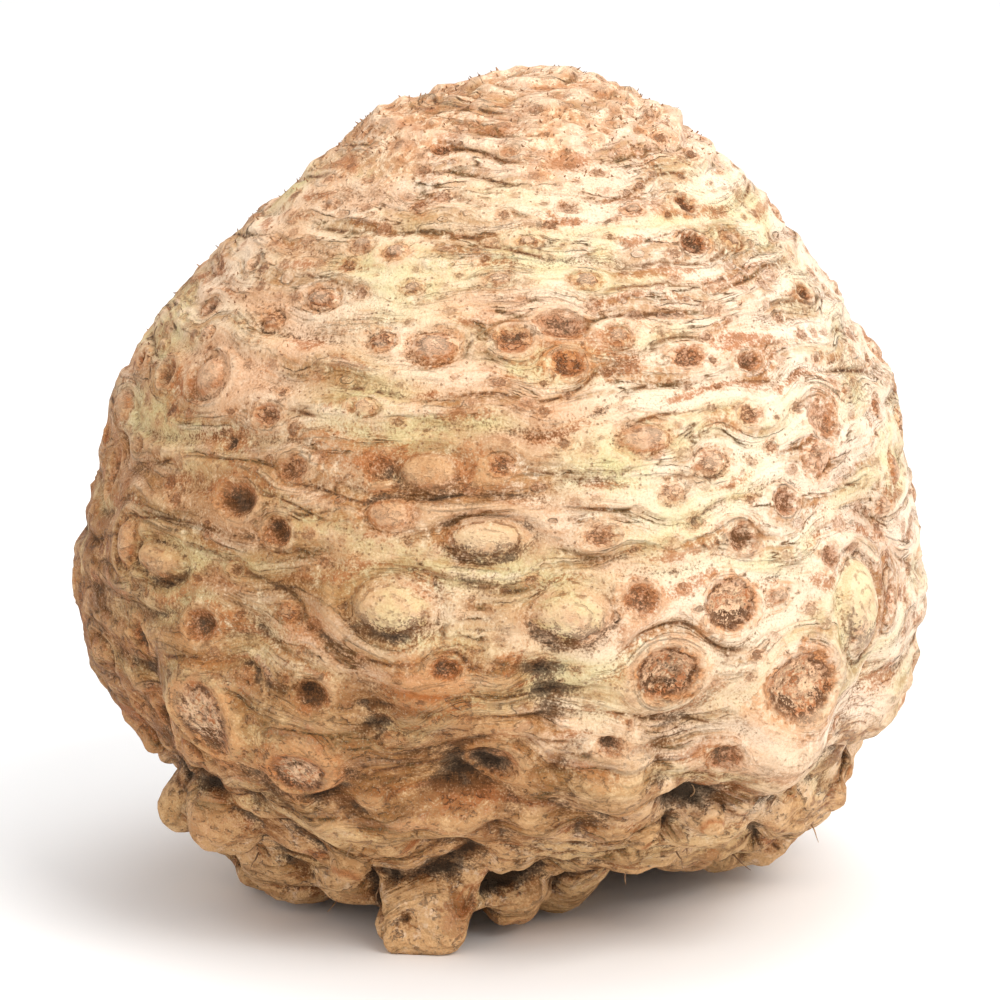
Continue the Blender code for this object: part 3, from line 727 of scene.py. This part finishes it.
def trim(mesh):
    """Cuts the root ends off level where the celeriac stands, and sets the skin on the solid's place."""
    shape = bmesh.new()
    shape.from_mesh(mesh)
    bmesh.ops.bisect_plane(shape, geom=[*shape.verts, *shape.edges, *shape.faces], dist=TRIM_MERGE,
                           plane_co=(0, 0, 0), plane_no=(0, 0, 1), clear_inner=True)
    open_edges = [edge for edge in shape.edges if edge.is_boundary]
    bmesh.ops.holes_fill(shape, edges=open_edges, sides=0)
    bmesh.ops.triangulate(shape, faces=[face for face in shape.faces if len(face.verts) > 4])
    drop_scraps(shape)
    for vertex in shape.verts:
        vertex.co.z = max(vertex.co.z, 0.0)
    bmesh.ops.recalc_face_normals(shape, faces=shape.faces)
    low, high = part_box("celeriac")
    middle = (low + high) / (2 * MM)
    own_low = Vector(min(v.co[axis] for v in shape.verts) for axis in range(3))
    own_high = Vector(max(v.co[axis] for v in shape.verts) for axis in range(3))
    shift = middle - (own_low + own_high) / 2
    bmesh.ops.translate(shape, verts=shape.verts, vec=(shift.x, shift.y, 0))
    bmesh.ops.scale(shape, verts=shape.verts, vec=(MM,) * 3)
    shape.to_mesh(mesh)
    shape.free()


def drop_scraps(shape):
    """Keeps only the largest connected body."""
    left = set(shape.verts)
    bodies = []
    while left:
        reached = [left.pop()]
        body = set(reached)
        while reached:
            vertex = reached.pop()
            for edge in vertex.link_edges:
                other = edge.other_vert(vertex)
                if other in left:
                    left.remove(other)
                    body.add(other)
                    reached.append(other)
        bodies.append(body)
    bodies.sort(key=len)
    for body in bodies[:-1]:
        bmesh.ops.delete(shape, geom=list(body), context="VERTS")


# The skin's colours, as light it returns in red, green and blue.
CREAM = (0.78, 0.61, 0.41, 1)
IVORY = (0.92, 0.74, 0.56, 1)
# A painted highlight for the side that the light falls on.
LIGHT_SIDE_PALE = (0.95, 0.86, 0.75, 1)
GREEN = (0.68, 0.63, 0.34, 1)
PEACH = (0.78, 0.49, 0.31, 1)
TAN = (0.46, 0.225, 0.095, 1)
OCHRE = (0.42, 0.22, 0.075, 1)
# Weathered tan, also laid on as painted shade on the side away from the light.
WEATHERED_AND_SHADED_TAN = (0.37, 0.178, 0.066, 1)
CREASE_BROWN = (0.23, 0.095, 0.035, 1)
CREASE_OLIVE = (0.17, 0.11, 0.04, 1)
CREASE_DARK = (0.09, 0.045, 0.02, 1)
SCAR_BROWN = (0.42, 0.155, 0.055, 1)
HALO = (0.66, 0.31, 0.13, 1)
SCAR_PALE = (0.80, 0.56, 0.38, 1)
SCAR_DARK = (0.10, 0.04, 0.018, 1)
RUST = (0.54, 0.205, 0.065, 1)
# Soil colours, also laid on as painted shade in hollows and under lids.
SOIL_AND_SHADE = (0.15, 0.105, 0.07, 1)
SOIL_AND_SHADE_BROWN = (0.18, 0.085, 0.035, 1)
SOIL_AND_SHADE_BLACK = (0.045, 0.032, 0.022, 1)
CROWN_BROWN = (0.56, 0.27, 0.12, 1)
CROWN_PALE = (0.95, 0.71, 0.49, 1)
ROOT_FLESH = (0.76, 0.50, 0.27, 1)
ROOT_BROWN = (0.28, 0.125, 0.05, 1)
# Painted shade for the lower part of the side away from the light.
SHADED_SIDE_BROWN = (0.25, 0.112, 0.042, 1)
CUT_FLESH = (0.66, 0.38, 0.18, 1)
CONTRAST = 1.2

# How far the finish's patterns reach across, in millimetres. Streaks and folds lie along the rings.
SPECKLE_SIZE = (0.34, 0.34, 0.34)
MOTTLE_SIZE = (1.25, 1.25, 1.25)
BLOTCH_SIZE = (5.0, 5.0, 4.0)
CELL_SIZE = (0.85, 0.85, 0.85)
STREAK_SIZE = (9.0, 9.0, 1.1)
FOLD_SIZE = (14.0, 14.0, 2.3)
GRAIN_SHIVER = 0.9
SCAR_WARP_SIZE = (0.62, 0.5, 1.0)
SCAR_WARP_SPREAD = 60.0
PATTERN_SHIFT = (7.1, 3.3, 5.7)

# Heights and scar sizes, in millimetres, over which parts of the finish come in.
SHADE_FILM_HEIGHTS = (12.0, 30.0)
# The painted bounce light at the very bottom comes in below these heights.
BOUNCE_LIGHT_HEIGHTS = (30.0, 8.0)
PALE_ROOT_HEIGHTS = (34.0, 10.0)
LARGE_SCAR = (2.5, 4.0)
SMALL_SCAR = (0.8, 1.8)
GREEN_SCAR = (3.5, 4.2)
CLEAR_OF_NEXT = (0.0, 0.7)

# How far the finish's own relief stands out or is cut in, in millimetres.
MOTTLE_RISE = 0.5
SPECKLE_RISE = 0.14
STREAK_RISE = 0.45
FOLD_SINK = 3.0
SCAR_WARP_RISE = 0.9
CRUST_RISE = 1.1
LINE_DEPTH = 0.15
SPOT_DEPTH = 0.2
RING_DEPTH = 0.18
RIM_DEPTH = 0.2
DOT_DEPTH = 0.1
CRACK_DEPTH = 0.3


class Reading:
    """A value that differs over the surface. Sums and products of readings are readings as well."""

    def __init__(self, finish, socket):
        self.finish = finish
        self.socket = socket

    def __add__(self, other):
        return self.finish.math("ADD", self, other)

    def __sub__(self, other):
        return self.finish.math("SUBTRACT", self, other)

    def __rsub__(self, other):
        return self.finish.math("SUBTRACT", other, self)

    def __mul__(self, other):
        return self.finish.math("MULTIPLY", self, other)

    def __abs__(self):
        return self.finish.math("ABSOLUTE", self)

    def fade(self, start, end):
        """0 up to start, 1 from end on, and smooth between. Start may be the larger."""
        return self.finish.add("MapRange", {"Value": self, "From Min": start, "From Max": end},
                               interpolation_type="SMOOTHSTEP")[0]

    def near(self, middle, width):
        """1 where the reading is at the middle, and 0 from a width away on."""
        return abs(self - middle).fade(width, 0.0)


class Finish:
    """A material in the making, laid on in coats over a ground colour."""

    def __init__(self, name, ground):
        self.material = bpy.data.materials.new(name)
        self.material.use_nodes = True
        self.tree = self.material.node_tree
        self.shader = self.tree.nodes["Principled BSDF"]
        self.colour = ground

    def join(self, socket, value):
        """Links a reading to a socket, or sets the socket to a plain value."""
        if isinstance(value, Reading):
            self.tree.links.new(value.socket, socket)
        else:
            socket.default_value = value

    def give(self, socket_name, value):
        """Sets one of the shader's own sockets."""
        self.join(self.shader.inputs[socket_name], value)

    def add(self, kind, inputs, **settings):
        """Adds a node, fills its inputs, and returns the reading at each of its outputs."""
        node = self.tree.nodes.new("ShaderNode" + kind)
        for setting, choice in settings.items():
            setattr(node, setting, choice)
        for socket, value in inputs.items():
            self.join(node.inputs[socket], value)
        return [Reading(self, output) for output in node.outputs]

    def math(self, operation, *values):
        return self.add("Math", dict(enumerate(values)), operation=operation)[0]

    def vector_math(self, operation, *values):
        return self.add("VectorMath", dict(enumerate(values)), operation=operation)[0]

    def most(self, first, *others):
        """The largest of several readings."""
        for other in others:
            first = self.math("MAXIMUM", first, other)
        return first

    def place(self):
        """Where each point of the surface lies in the object, in millimetres."""
        spot = Reading(self, self.tree.nodes.new("ShaderNodeTexCoord").outputs["Object"])
        return self.add("VectorMath", {0: spot, "Scale": 1 / MM}, operation="SCALE")[0]

    def stored(self, name):
        """The vector and the value kept on the mesh under a name."""
        _, vector, value, _ = self.add("Attribute", {}, attribute_name=name)
        return vector, value

    def split(self, vector):
        return self.add("SeparateXYZ", {0: vector})

    def parts(self, name):
        """The three values kept on the mesh under a name."""
        return self.split(self.stored(name)[0])

    def pattern_place(self, place, sizes, seed):
        """The place in a pattern whose features are sizes millimetres across, set apart by a seed."""
        return self.vector_math("ADD", self.vector_math("DIVIDE", place, sizes),
                                tuple(seed * shift for shift in PATTERN_SHIFT))

    def noise(self, place, sizes, detail=2.0, roughness=0.5, seed=0):
        """Noise from 0 to 1."""
        return self.add("TexNoise", {"Vector": self.pattern_place(place, sizes, seed), "Scale": 1.0,
                                     "Detail": detail, "Roughness": roughness})[0]

    def cells(self, place, sizes, seed):
        """The distance from each cell's middle, and a chance value of the cell."""
        outputs = self.add("TexVoronoi", {"Vector": self.pattern_place(place, sizes, seed), "Scale": 1.0})
        return outputs[0], self.split(outputs[1])[0]

    def mix(self, share, under, over):
        return self.add("Mix", {0: share, 6: under, 7: over}, data_type="RGBA")[2]

    def paint(self, colour, share, cover=1.0):
        """Lays a coat over those below. Its share of the surface is covered as fully as cover says."""
        self.colour = self.mix(share * cover, self.colour, colour)

    def bump(self, height, depth):
        """Bumps the surface by the height times a depth in metres."""
        self.give("Normal", self.add("Bump", {"Height": height, "Strength": 1.0, "Distance": depth})[0])


def skin_finish():
    """Pale skin with green and peach tints, brown creases, speckled scars, a corky crown, dirty roots, and
    painted light and shade.
    """
    skin = Finish("celeriac_skin", CREAM)
    along, rise, chance = skin.parts("scar_place")
    disc, eye, pit = skin.parts("scar_kind")
    size, clearance, low = skin.parts("scar_size")
    green, orange, dirt = skin.parts("stain")
    ivory, peach, tan = skin.parts("tint")
    crease_here, scab_here, crown = skin.parts("presence")
    hollow, cut, cut_out = skin.parts("hollow")
    weathered_and_shaded, edge, lit_side = skin.parts("wear_and_light")
    phase = skin.stored("phase")[1]
    place = skin.place()
    height = skin.split(place)[2]

    speckle = skin.noise(place, SPECKLE_SIZE, 2.0, 0.6, seed=2)
    mottle = skin.noise(place, MOTTLE_SIZE, 3.0, 0.62, seed=3)
    rough = skin.noise(place, BLOTCH_SIZE, 4.0, 0.62, seed=9)
    cell, cell_chance = skin.cells(place, CELL_SIZE, seed=15)
    specks = speckle - 0.5
    clouds = mottle - 0.5
    blotches = rough - 0.5
    shiver = skin.add("CombineXYZ", {2: clouds * GRAIN_SHIVER})[0]
    grain = skin.vector_math("ADD", skin.stored("grain")[0], shiver)
    streak = skin.noise(grain, STREAK_SIZE, 3.0, 0.6, seed=6)
    fold = skin.noise(grain, FOLD_SIZE, 2.0, 0.5, seed=12) - 0.5

    # The flesh-coloured ground and its tints, and a pale painted highlight on the upper right, where the
    # light falls.
    skin.paint(IVORY, ivory)
    skin.paint(PEACH, peach, cover=0.8)
    skin.paint(TAN, tan * mottle.fade(0.3, 0.6), cover=0.55)
    skin.paint(LIGHT_SIDE_PALE, lit_side, cover=0.6)
    skin.paint(HALO, streak.fade(0.53, 0.75), cover=0.5)
    skin.paint(IVORY, streak.fade(0.44, 0.28), cover=0.4)

    # The lower part is browner and blotched, the side away from the light is darkened with weathered
    # tan and painted shade, and the crown is corky.
    root_blotch = rough * 0.6 + streak * 0.4 + clouds * 0.35
    root_tone = skin.mix(root_blotch.fade(0.42, 0.6), ROOT_FLESH, ROOT_BROWN)
    root_share = (low + blotches * 0.7).fade(0.3, 0.75)
    skin.paint(root_tone, root_share, cover=0.85)
    # Painted highlight: the lit side of the lower part is paler.
    skin.paint(LIGHT_SIDE_PALE, lit_side * root_share * rough.fade(0.6, 0.4), cover=0.7)
    patchy = (rough + clouds * 0.9 + specks * 0.4).fade(0.1, 0.5)
    # Weathered tan and painted shade on the side away from the light, in patches.
    skin.paint(WEATHERED_AND_SHADED_TAN, weathered_and_shaded * patchy, cover=0.85)
    # Painted shade: a brown film darkens the lower part of the side away from the light.
    shade_film = weathered_and_shaded * low * height.fade(*SHADE_FILM_HEIGHTS) * rough.fade(0.3, 0.55)
    skin.paint(SHADED_SIDE_BROWN, shade_film, cover=0.8)
    # Painted light: the very bottom is lighter, standing in for light thrown back by the floor.
    skin.paint(ROOT_FLESH, height.fade(*BOUNCE_LIGHT_HEIGHTS) * root_blotch.fade(0.6, 0.48), cover=0.8)
    pale_patch = clouds.fade(-0.02, 0.12) * rough.fade(0.56, 0.46)
    skin.paint(IVORY, height.fade(*PALE_ROOT_HEIGHTS) * pale_patch, cover=0.55)
    skin.paint(GREEN, green * rough.fade(0.75, 0.4), cover=0.85)
    crown_tone = skin.mix((mottle + specks * 0.4).fade(0.42, 0.62), CROWN_BROWN, CROWN_PALE)
    crown_share = (crown + clouds).fade(0.35, 0.75)
    skin.paint(crown_tone, crown_share, cover=0.85)
    # Painted highlight: the lit side of the crown is paler.
    skin.paint(LIGHT_SIDE_PALE, lit_side * crown_share * rough.fade(0.6, 0.35), cover=0.5)
    skin.paint(RUST, (orange + clouds * 1.2 + specks * 0.8).fade(0.3, 1.1), cover=0.85)
    skin.paint(SCAR_BROWN, (scab_here + clouds * 2.0 + specks * 1.6).fade(0.35, 1.2), cover=0.75)

    # Folds run along the growth rings: a pale painted highlight where they rise, brown painted shade
    # where they sink, and a dark line between.
    gap = abs(skin.math("FRACT", phase + 0.5) - 0.5) + clouds * 0.1 + specks * 0.06
    off_scars = edge.fade(0.9, 1.25)
    deep_here = crease_here.fade(0.2, 0.8) * off_scars
    fold_here = crease_here.fade(0.0, 0.5) * off_scars
    crease_shade = skin.most(gap.fade(0.26, 0.0) * deep_here, fold.fade(0.0, 0.13) * fold_here)
    fold_line = (fold + specks * 0.03).near(0.014, 0.042) * fold_here
    wrinkle = streak.near(0.5, 0.03) * tan.fade(0.3, 0.8) * off_scars
    lines = skin.most(gap.fade(0.09, 0.02) * deep_here, fold_line * rough.fade(0.4, 0.56), wrinkle * 0.6)
    shine = 0.75 - skin.most(weathered_and_shaded, low) * 0.6
    # Painted highlight on the rising side of each fold, weaker on the shaded side.
    skin.paint(IVORY, fold.fade(0.0, -0.12) * fold_here * mottle.fade(0.35, 0.6) * shine)
    # Painted shade in sinking folds and along the ring creases.
    skin.paint(OCHRE, crease_shade * mottle.fade(0.25, 0.6), cover=0.6)
    line_tone = skin.mix(rough.fade(0.47, 0.6), CREASE_BROWN, CREASE_OLIVE)
    skin.paint(line_tone, lines * mottle.fade(0.28, 0.52), cover=0.88)
    skin.paint(CREASE_DARK, lines.fade(0.6, 1.0) * mottle.fade(0.45, 0.6), cover=0.8)

    # Scars are reddish and pink inside, with dark wiggling lines, broken rings and a soft halo.
    # Distance is 0 in a scar's middle and 1 at its edge, and warped, so that no outline is even.
    scar_frame = skin.add("CombineXYZ", {0: along, 1: rise, 2: chance * SCAR_WARP_SPREAD})[0]
    warp = skin.noise(scar_frame, SCAR_WARP_SIZE, 3.0, 0.6, seed=16) - 0.5
    large = size.fade(*LARGE_SCAR)
    small = 1.0 - large
    distance = edge + warp * (small * 1.3 + 1.1) + clouds * 0.5
    alone = clearance.fade(*CLEAR_OF_NEXT)
    strength = skin.most(large, chance * chance * 0.45 + size.fade(*SMALL_SCAR) * 0.35 + 0.2)
    open_side = 1.0 - eye * large * rise.fade(-0.35, 0.45)
    inside = distance.fade(1.1, 0.65) * strength * open_side
    around_scar = distance.fade(2.3, 0.8) * alone * strength
    dome = eye * large
    green_dome = eye * size.fade(*GREEN_SCAR)
    skin.paint(HALO, around_scar * mottle.fade(0.3, 0.56) * (0.85 - dome * 0.6))
    pale_here = (clouds + specks * 0.8 + warp + large * 0.18).fade(0.02, 0.22)
    scar_tone = skin.mix(pale_here, SCAR_BROWN, SCAR_PALE)
    skin.paint(scar_tone, inside, cover=0.85)
    skin.paint(GREEN, green_dome * distance.fade(1.1, 0.5) * rough.fade(0.35, 0.6), cover=0.7)
    skin.paint(OCHRE, green_dome * distance.fade(1.1, 0.6) * streak.fade(0.5, 0.7), cover=0.5)
    grains = (cell + specks * 0.3).fade(0.62, 0.3) * mottle.fade(0.62, 0.42)
    pale_heart = distance.fade(0.85, 0.5) * large * skin.most(disc, eye * 0.3) * strength * open_side
    skin.paint(CREAM, pale_heart * grains, cover=0.7)
    rings = skin.math("SINE", edge * (size * 2.0 + 8.0) + warp * 9.0).fade(0.35, 0.95)
    ring_mark = rings * distance.fade(1.9, 1.1) * alone * mottle.fade(0.42, 0.6) * strength
    skin.paint(CREASE_BROWN, ring_mark, cover=0.6)
    rim = distance.near(0.95, 0.17) * skin.most(large, pit * 0.7) * strength * open_side
    rim = rim * (warp + clouds * 0.6).fade(-0.16, 0.12)
    skin.paint(SCAR_DARK, rim, cover=0.85)
    lower_edge = distance.near(0.75, 0.5) * rise.fade(0.3, -0.4) * large
    wiggles = warp.near(0.0, 0.07) * mottle.fade(0.36, 0.5) * (1.0 - large * 0.6)
    dusted = (specks + clouds * 0.7 + pit * 0.08 + lower_edge * 0.3 - large * 0.1).fade(0.12, 0.25)
    spots = distance.fade(1.1, 0.7) * strength * open_side * skin.most(wiggles, dusted)
    heart = distance.fade(0.55, 0.25) * (pit * 0.8 + small * 0.1) * mottle.fade(0.42, 0.58) * strength
    darkest = skin.most(spots, heart)
    skin.paint(SCAR_DARK, darkest, cover=0.88)

    # Fine brown specks lie all over, thickest where the skin is tan.
    busy = skin.most(tan, weathered_and_shaded, crown)
    dots_here = (cell_chance + busy * 0.4 + clouds * 0.8).fade(0.75, 0.85)
    dots = (cell + specks * 0.5).fade(0.3, 0.12) * dots_here
    skin.paint(CREASE_BROWN, dots, cover=0.6)
    skin.paint(TAN, specks.fade(-0.04, 0.2) * (busy * 0.3 + 0.22))
    skin.paint(IVORY, specks.fade(-0.04, -0.2), cover=0.22)

    # Soil stays in stains and cracks, and hollows and the skin under a lid are darkened as soil and
    # as painted shade, but not above a lid. Raised edges get a pale painted highlight.
    cracks = (rough + specks * 0.05).near(0.5, 0.03) * low * mottle.fade(0.48, 0.62)
    # Darker under a lid than above it.
    dark_below_dome = dome * distance.near(0.9, 0.5) * rise.fade(0.4, -0.5)
    clear_above_dome = dome * distance.near(1.3, 0.7) * rise.fade(-0.5, 0.3)
    # Soil stains and painted shade in hollows, stronger low down and on the side away from the light.
    soil_and_shade = dark_below_dome * 0.5 - clear_above_dome * 1.2 + hollow * (low * 0.8 + 0.9) + dirt * 0.9
    soil_and_shade = soil_and_shade + low * 0.06 + weathered_and_shaded * 0.1 + clouds * 1.5 + specks * 2.6 + blotches * (dirt * 2.0 + low)
    grime_and_shade = soil_and_shade.fade(0.25, 1.4)
    soil_and_shade_tone = skin.mix(rough.fade(0.42, 0.6), SOIL_AND_SHADE, SOIL_AND_SHADE_BROWN)
    skin.paint(soil_and_shade_tone, skin.most(grime_and_shade, cracks * 0.8), cover=0.85)
    # The deepest soil and painted shade go near black.
    skin.paint(SOIL_AND_SHADE_BLACK, soil_and_shade.fade(1.3, 2.4), cover=0.8)
    # Painted highlight: raised edges are paler.
    raised_highlight_tone = skin.mix(skin.most(low, weathered_and_shaded), IVORY, ROOT_FLESH)
    skin.paint(raised_highlight_tone, (hollow + clouds * 0.8).fade(-0.2, -0.8), cover=0.35)

    # Trimmed root ends show pale flesh, with a darker ring under the skin.
    skin.paint(CUT_FLESH, cut * cut_out.fade(1.0, 0.8) * mottle.fade(0.4, 0.6), cover=0.6)
    skin.paint(SCAR_BROWN, cut * cut_out.near(0.7, 0.15), cover=0.6)
    skin.give("Base Color", skin.add("Gamma", {0: skin.colour, 1: CONTRAST})[0])

    # Relief finer than the mesh holds, and a dull, dry surface.
    raised = mottle * MOTTLE_RISE + speckle * SPECKLE_RISE + streak * STREAK_RISE
    raised = raised - fold * fold_here * FOLD_SINK + inside * warp * SCAR_WARP_RISE
    raised = raised + skin.most(low, crown) * rough * CRUST_RISE
    cut_in = lines * LINE_DEPTH + darkest * SPOT_DEPTH + ring_mark * RING_DEPTH
    cut_in = cut_in + rim * RIM_DEPTH + dots * DOT_DEPTH + cracks * CRACK_DEPTH
    skin.bump(raised - cut_in, MM)
    skin.give("Roughness", mottle * 0.2 + 0.5 + grime_and_shade * 0.25)
    skin.give("IOR", 1.4)
    skin.give("Specular IOR Level", 0.15)
    return skin.material


skin_mesh = shaped_skin()
trim(skin_mesh)
skin_mesh.materials.clear()
skin_mesh.materials.append(skin_finish())
skin_mesh.shade_smooth()
celeriac_skin = bpy.data.objects.new("celeriac_skin", skin_mesh)
bpy.context.scene.collection.objects.link(celeriac_skin)
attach(celeriac_skin, "root")
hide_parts("celeriac")

# The crown's bristles.
# The leaf stalks were torn off the crown, and their dry fibres are left as a brown stubble round it
# and down one shoulder. Each is a thin tapered spike that is rooted in the skin.
FIBRE_SEED = 23
BRISTLES = 560
BRISTLE_SIDES = 4
BRISTLE_RADIUS = (0.0001, 0.00024)
BRISTLE_LENGTH = (0.0004, 0.0008)
BRISTLE_SUNK = 0.0002
BRISTLE_TIP = 0.3
BRISTLE_LEAN = 0.6
CROWN_BRISTLES_FROM = 0.114
SHOULDER_BRISTLES_FROM = 0.084
SHOULDER_SIDE = -0.022
SHOULDER_SHARE = 0.35
BRISTLE_DARK = (0.20, 0.095, 0.045, 1)
BRISTLE_LIGHT = (0.40, 0.20, 0.09, 1)
FIBRE_TONE_SIZE = (1.5, 1.5, 1.5)
FIBRE_GRAIN_SIZE = (0.2, 0.2, 0.2)
FIBRE_GRAIN_DEPTH = 0.00005

skin_points = read(skin_mesh, "co")
skin_normals = read(skin_mesh, "normal")


def choose_roots(wanted, count, draw):
    """A number of the skin's points among those wanted, each with its outward way."""
    numbers = np.flatnonzero(wanted)
    chosen = [numbers[draw.randrange(len(numbers))] for _ in range(count)]
    return [(Vector(skin_points[number]), Vector(skin_normals[number])) for number in chosen]


def strayed(way, amount, draw):
    """The way, turned a little by chance."""
    return (way + Vector(draw.uniform(-amount, amount) for _ in range(3))).normalized()


def mesh_piece(name, mesh, material):
    """A finished piece of the celeriac's surface, which rides with its body."""
    mesh.materials.clear()
    mesh.materials.append(material)
    piece = bpy.data.objects.new(name, mesh)
    bpy.context.scene.collection.objects.link(piece)
    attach(piece, "root")


def fibre_finish(name, dark, light):
    """Dry plant fibre, which changes tone from one to the next."""
    fibre = Finish(name, dark)
    place = fibre.place()
    fibre.paint(light, fibre.noise(place, FIBRE_TONE_SIZE).fade(0.35, 0.65))
    fibre.give("Base Color", fibre.colour)
    fibre.bump(fibre.noise(place, FIBRE_GRAIN_SIZE, 1.0), FIBRE_GRAIN_DEPTH)
    fibre.give("Roughness", 0.75)
    return fibre.material


draw = random.Random(FIBRE_SEED)
crown_points = skin_points[:, 2] > CROWN_BRISTLES_FROM
shoulder_points = (skin_points[:, 2] > SHOULDER_BRISTLES_FROM) & (skin_points[:, 0] < SHOULDER_SIDE)
bristle_roots = choose_roots(crown_points, round(BRISTLES * (1 - SHOULDER_SHARE)), draw)
bristle_roots += choose_roots(shoulder_points, round(BRISTLES * SHOULDER_SHARE), draw)
bristle_shape = bmesh.new()
for root, way in bristle_roots:
    way = strayed(way, BRISTLE_LEAN, draw)
    length = draw.uniform(*BRISTLE_LENGTH)
    radius = draw.uniform(*BRISTLE_RADIUS)
    turn = Vector((0, 0, 1)).rotation_difference(way).to_matrix().to_4x4()
    middle = Matrix.Translation(root + way * (length / 2 - BRISTLE_SUNK))
    bmesh.ops.create_cone(bristle_shape, cap_ends=True, segments=BRISTLE_SIDES, radius1=radius,
                          radius2=radius * BRISTLE_TIP, depth=length, matrix=middle @ turn)
bristle_mesh = bpy.data.meshes.new("crown_bristles")
bristle_shape.to_mesh(bristle_mesh)
bristle_shape.free()
mesh_piece("crown_bristles", bristle_mesh, fibre_finish("bristle_fibre", BRISTLE_DARK, BRISTLE_LIGHT))

# The last root hairs.
# Fine dry roots that the knife missed still hang among the root bases and low on the bulb, all
# round it. Each is a curled thread of its own, rooted in the skin and thinner towards its tip.
HAIRS = 34
HAIR_RADIUS = 0.00016
HAIR_LENGTH = (0.002, 0.0045)
HAIR_STEPS = 7
HAIR_TAPER = 0.75
HAIR_SUNK = 0.5
HAIR_CURL = 0.5
HAIR_DROOP = 0.12
HAIR_HEIGHTS = (0.004, 0.032)
HAIR_CLEARANCE = 0.0004
HAIR_DARK = (0.16, 0.08, 0.035, 1)
HAIR_LIGHT = (0.46, 0.27, 0.13, 1)

hair_lines = bpy.data.curves.new("root_hairs", "CURVE")
hair_lines.dimensions = "3D"
hair_lines.bevel_depth = HAIR_RADIUS
hair_lines.bevel_resolution = 1
hair_lines.use_fill_caps = True
hair_zone = (skin_points[:, 2] > HAIR_HEIGHTS[0]) & (skin_points[:, 2] < HAIR_HEIGHTS[1])
for root, way in choose_roots(hair_zone, HAIRS, draw):
    step = draw.uniform(*HAIR_LENGTH) / HAIR_STEPS
    thread = hair_lines.splines.new("POLY")
    thread.points.add(HAIR_STEPS)
    here = root - way * step * HAIR_SUNK
    for number, point in enumerate(thread.points):
        here.z = max(here.z, HAIR_CLEARANCE)
        point.co = (*here, 1)
        point.radius = 1 - HAIR_TAPER * number / HAIR_STEPS
        way = strayed(way - Vector((0, 0, HAIR_DROOP)), HAIR_CURL, draw)
        here = here + way * step
hair_holder = bpy.data.objects.new("hair_holder", hair_lines)
bpy.context.scene.collection.objects.link(hair_holder)
hair_mesh = evaluated_mesh(hair_holder)
bpy.data.objects.remove(hair_holder)
mesh_piece("root_hairs", hair_mesh, fibre_finish("hair_fibre", HAIR_DARK, HAIR_LIGHT))

# The studio.
# A plain pale floor and soft light, brightest from the upper right, as in the photograph.
# The camera looks level with the bulb's middle from 12 degrees above, through a long lens.
FLOOR_RADIUS = 3.0
FLOOR_COLOUR = (0.93, 0.93, 0.93, 1)
FLOOR_SHADE = (0.88, 0.88, 0.88, 1)
FLOOR_CLOUDS = (400.0, 400.0, 400.0)
WORLD_STRENGTH = 0.92
CAMERA_ELEVATION = math.radians(12.0)
CAMERA_DISTANCE = 0.8
CAMERA_TARGET = Vector((0.0, 0.0, 0.0607))
FRAME_WIDTH = 0.1526
SENSOR = 36.0

floor_shape = bmesh.new()
bmesh.ops.create_circle(floor_shape, cap_ends=True, segments=96, radius=FLOOR_RADIUS)
floor_mesh = bpy.data.meshes.new("floor")
floor_shape.to_mesh(floor_mesh)
floor_shape.free()
paper = Finish("floor_paper", FLOOR_COLOUR)
paper.paint(FLOOR_SHADE, paper.noise(paper.place(), FLOOR_CLOUDS), cover=0.04)
paper.give("Base Color", paper.colour)
paper.give("Roughness", 0.9)
floor_mesh.materials.append(paper.material)
floor = bpy.data.objects.new("floor", floor_mesh)
bpy.context.scene.collection.objects.link(floor)


def add_area_light(name, place, size, power, colour):
    """Adds a square soft light that points at the bulb's middle."""
    light = bpy.data.lights.new(name, "AREA")
    light.size = size
    light.energy = power
    light.color = colour
    holder = bpy.data.objects.new(name, light)
    holder.location = place
    holder.rotation_euler = (CAMERA_TARGET - Vector(place)).to_track_quat("-Z", "Y").to_euler()
    bpy.context.scene.collection.objects.link(holder)


add_area_light("key_light", place=(0.6, -0.75, 1.0), size=0.7, power=12.4, colour=(1.0, 0.98, 0.95))
add_area_light("top_light", place=(0.1, 0.25, 1.2), size=0.9, power=4.0, colour=(1.0, 1.0, 1.0))

world = bpy.data.worlds.new("studio")
bpy.context.scene.world = world
world.use_nodes = True
background = world.node_tree.nodes["Background"]
background.inputs["Color"].default_value = (1, 1, 1, 1)
background.inputs["Strength"].default_value = WORLD_STRENGTH

camera_data = bpy.data.cameras.new("camera")
camera_data.sensor_width = SENSOR
camera_data.lens = SENSOR * CAMERA_DISTANCE / FRAME_WIDTH
camera_data.clip_start = 0.01
camera = bpy.data.objects.new("camera", camera_data)
camera.location = CAMERA_TARGET + CAMERA_DISTANCE * Vector((0, -math.cos(CAMERA_ELEVATION),
                                                            math.sin(CAMERA_ELEVATION)))
camera.rotation_euler = (math.pi / 2 - CAMERA_ELEVATION, 0, 0)
bpy.context.scene.collection.objects.link(camera)
bpy.context.scene.camera = camera
bpy.context.scene.view_settings.view_transform = "Standard"
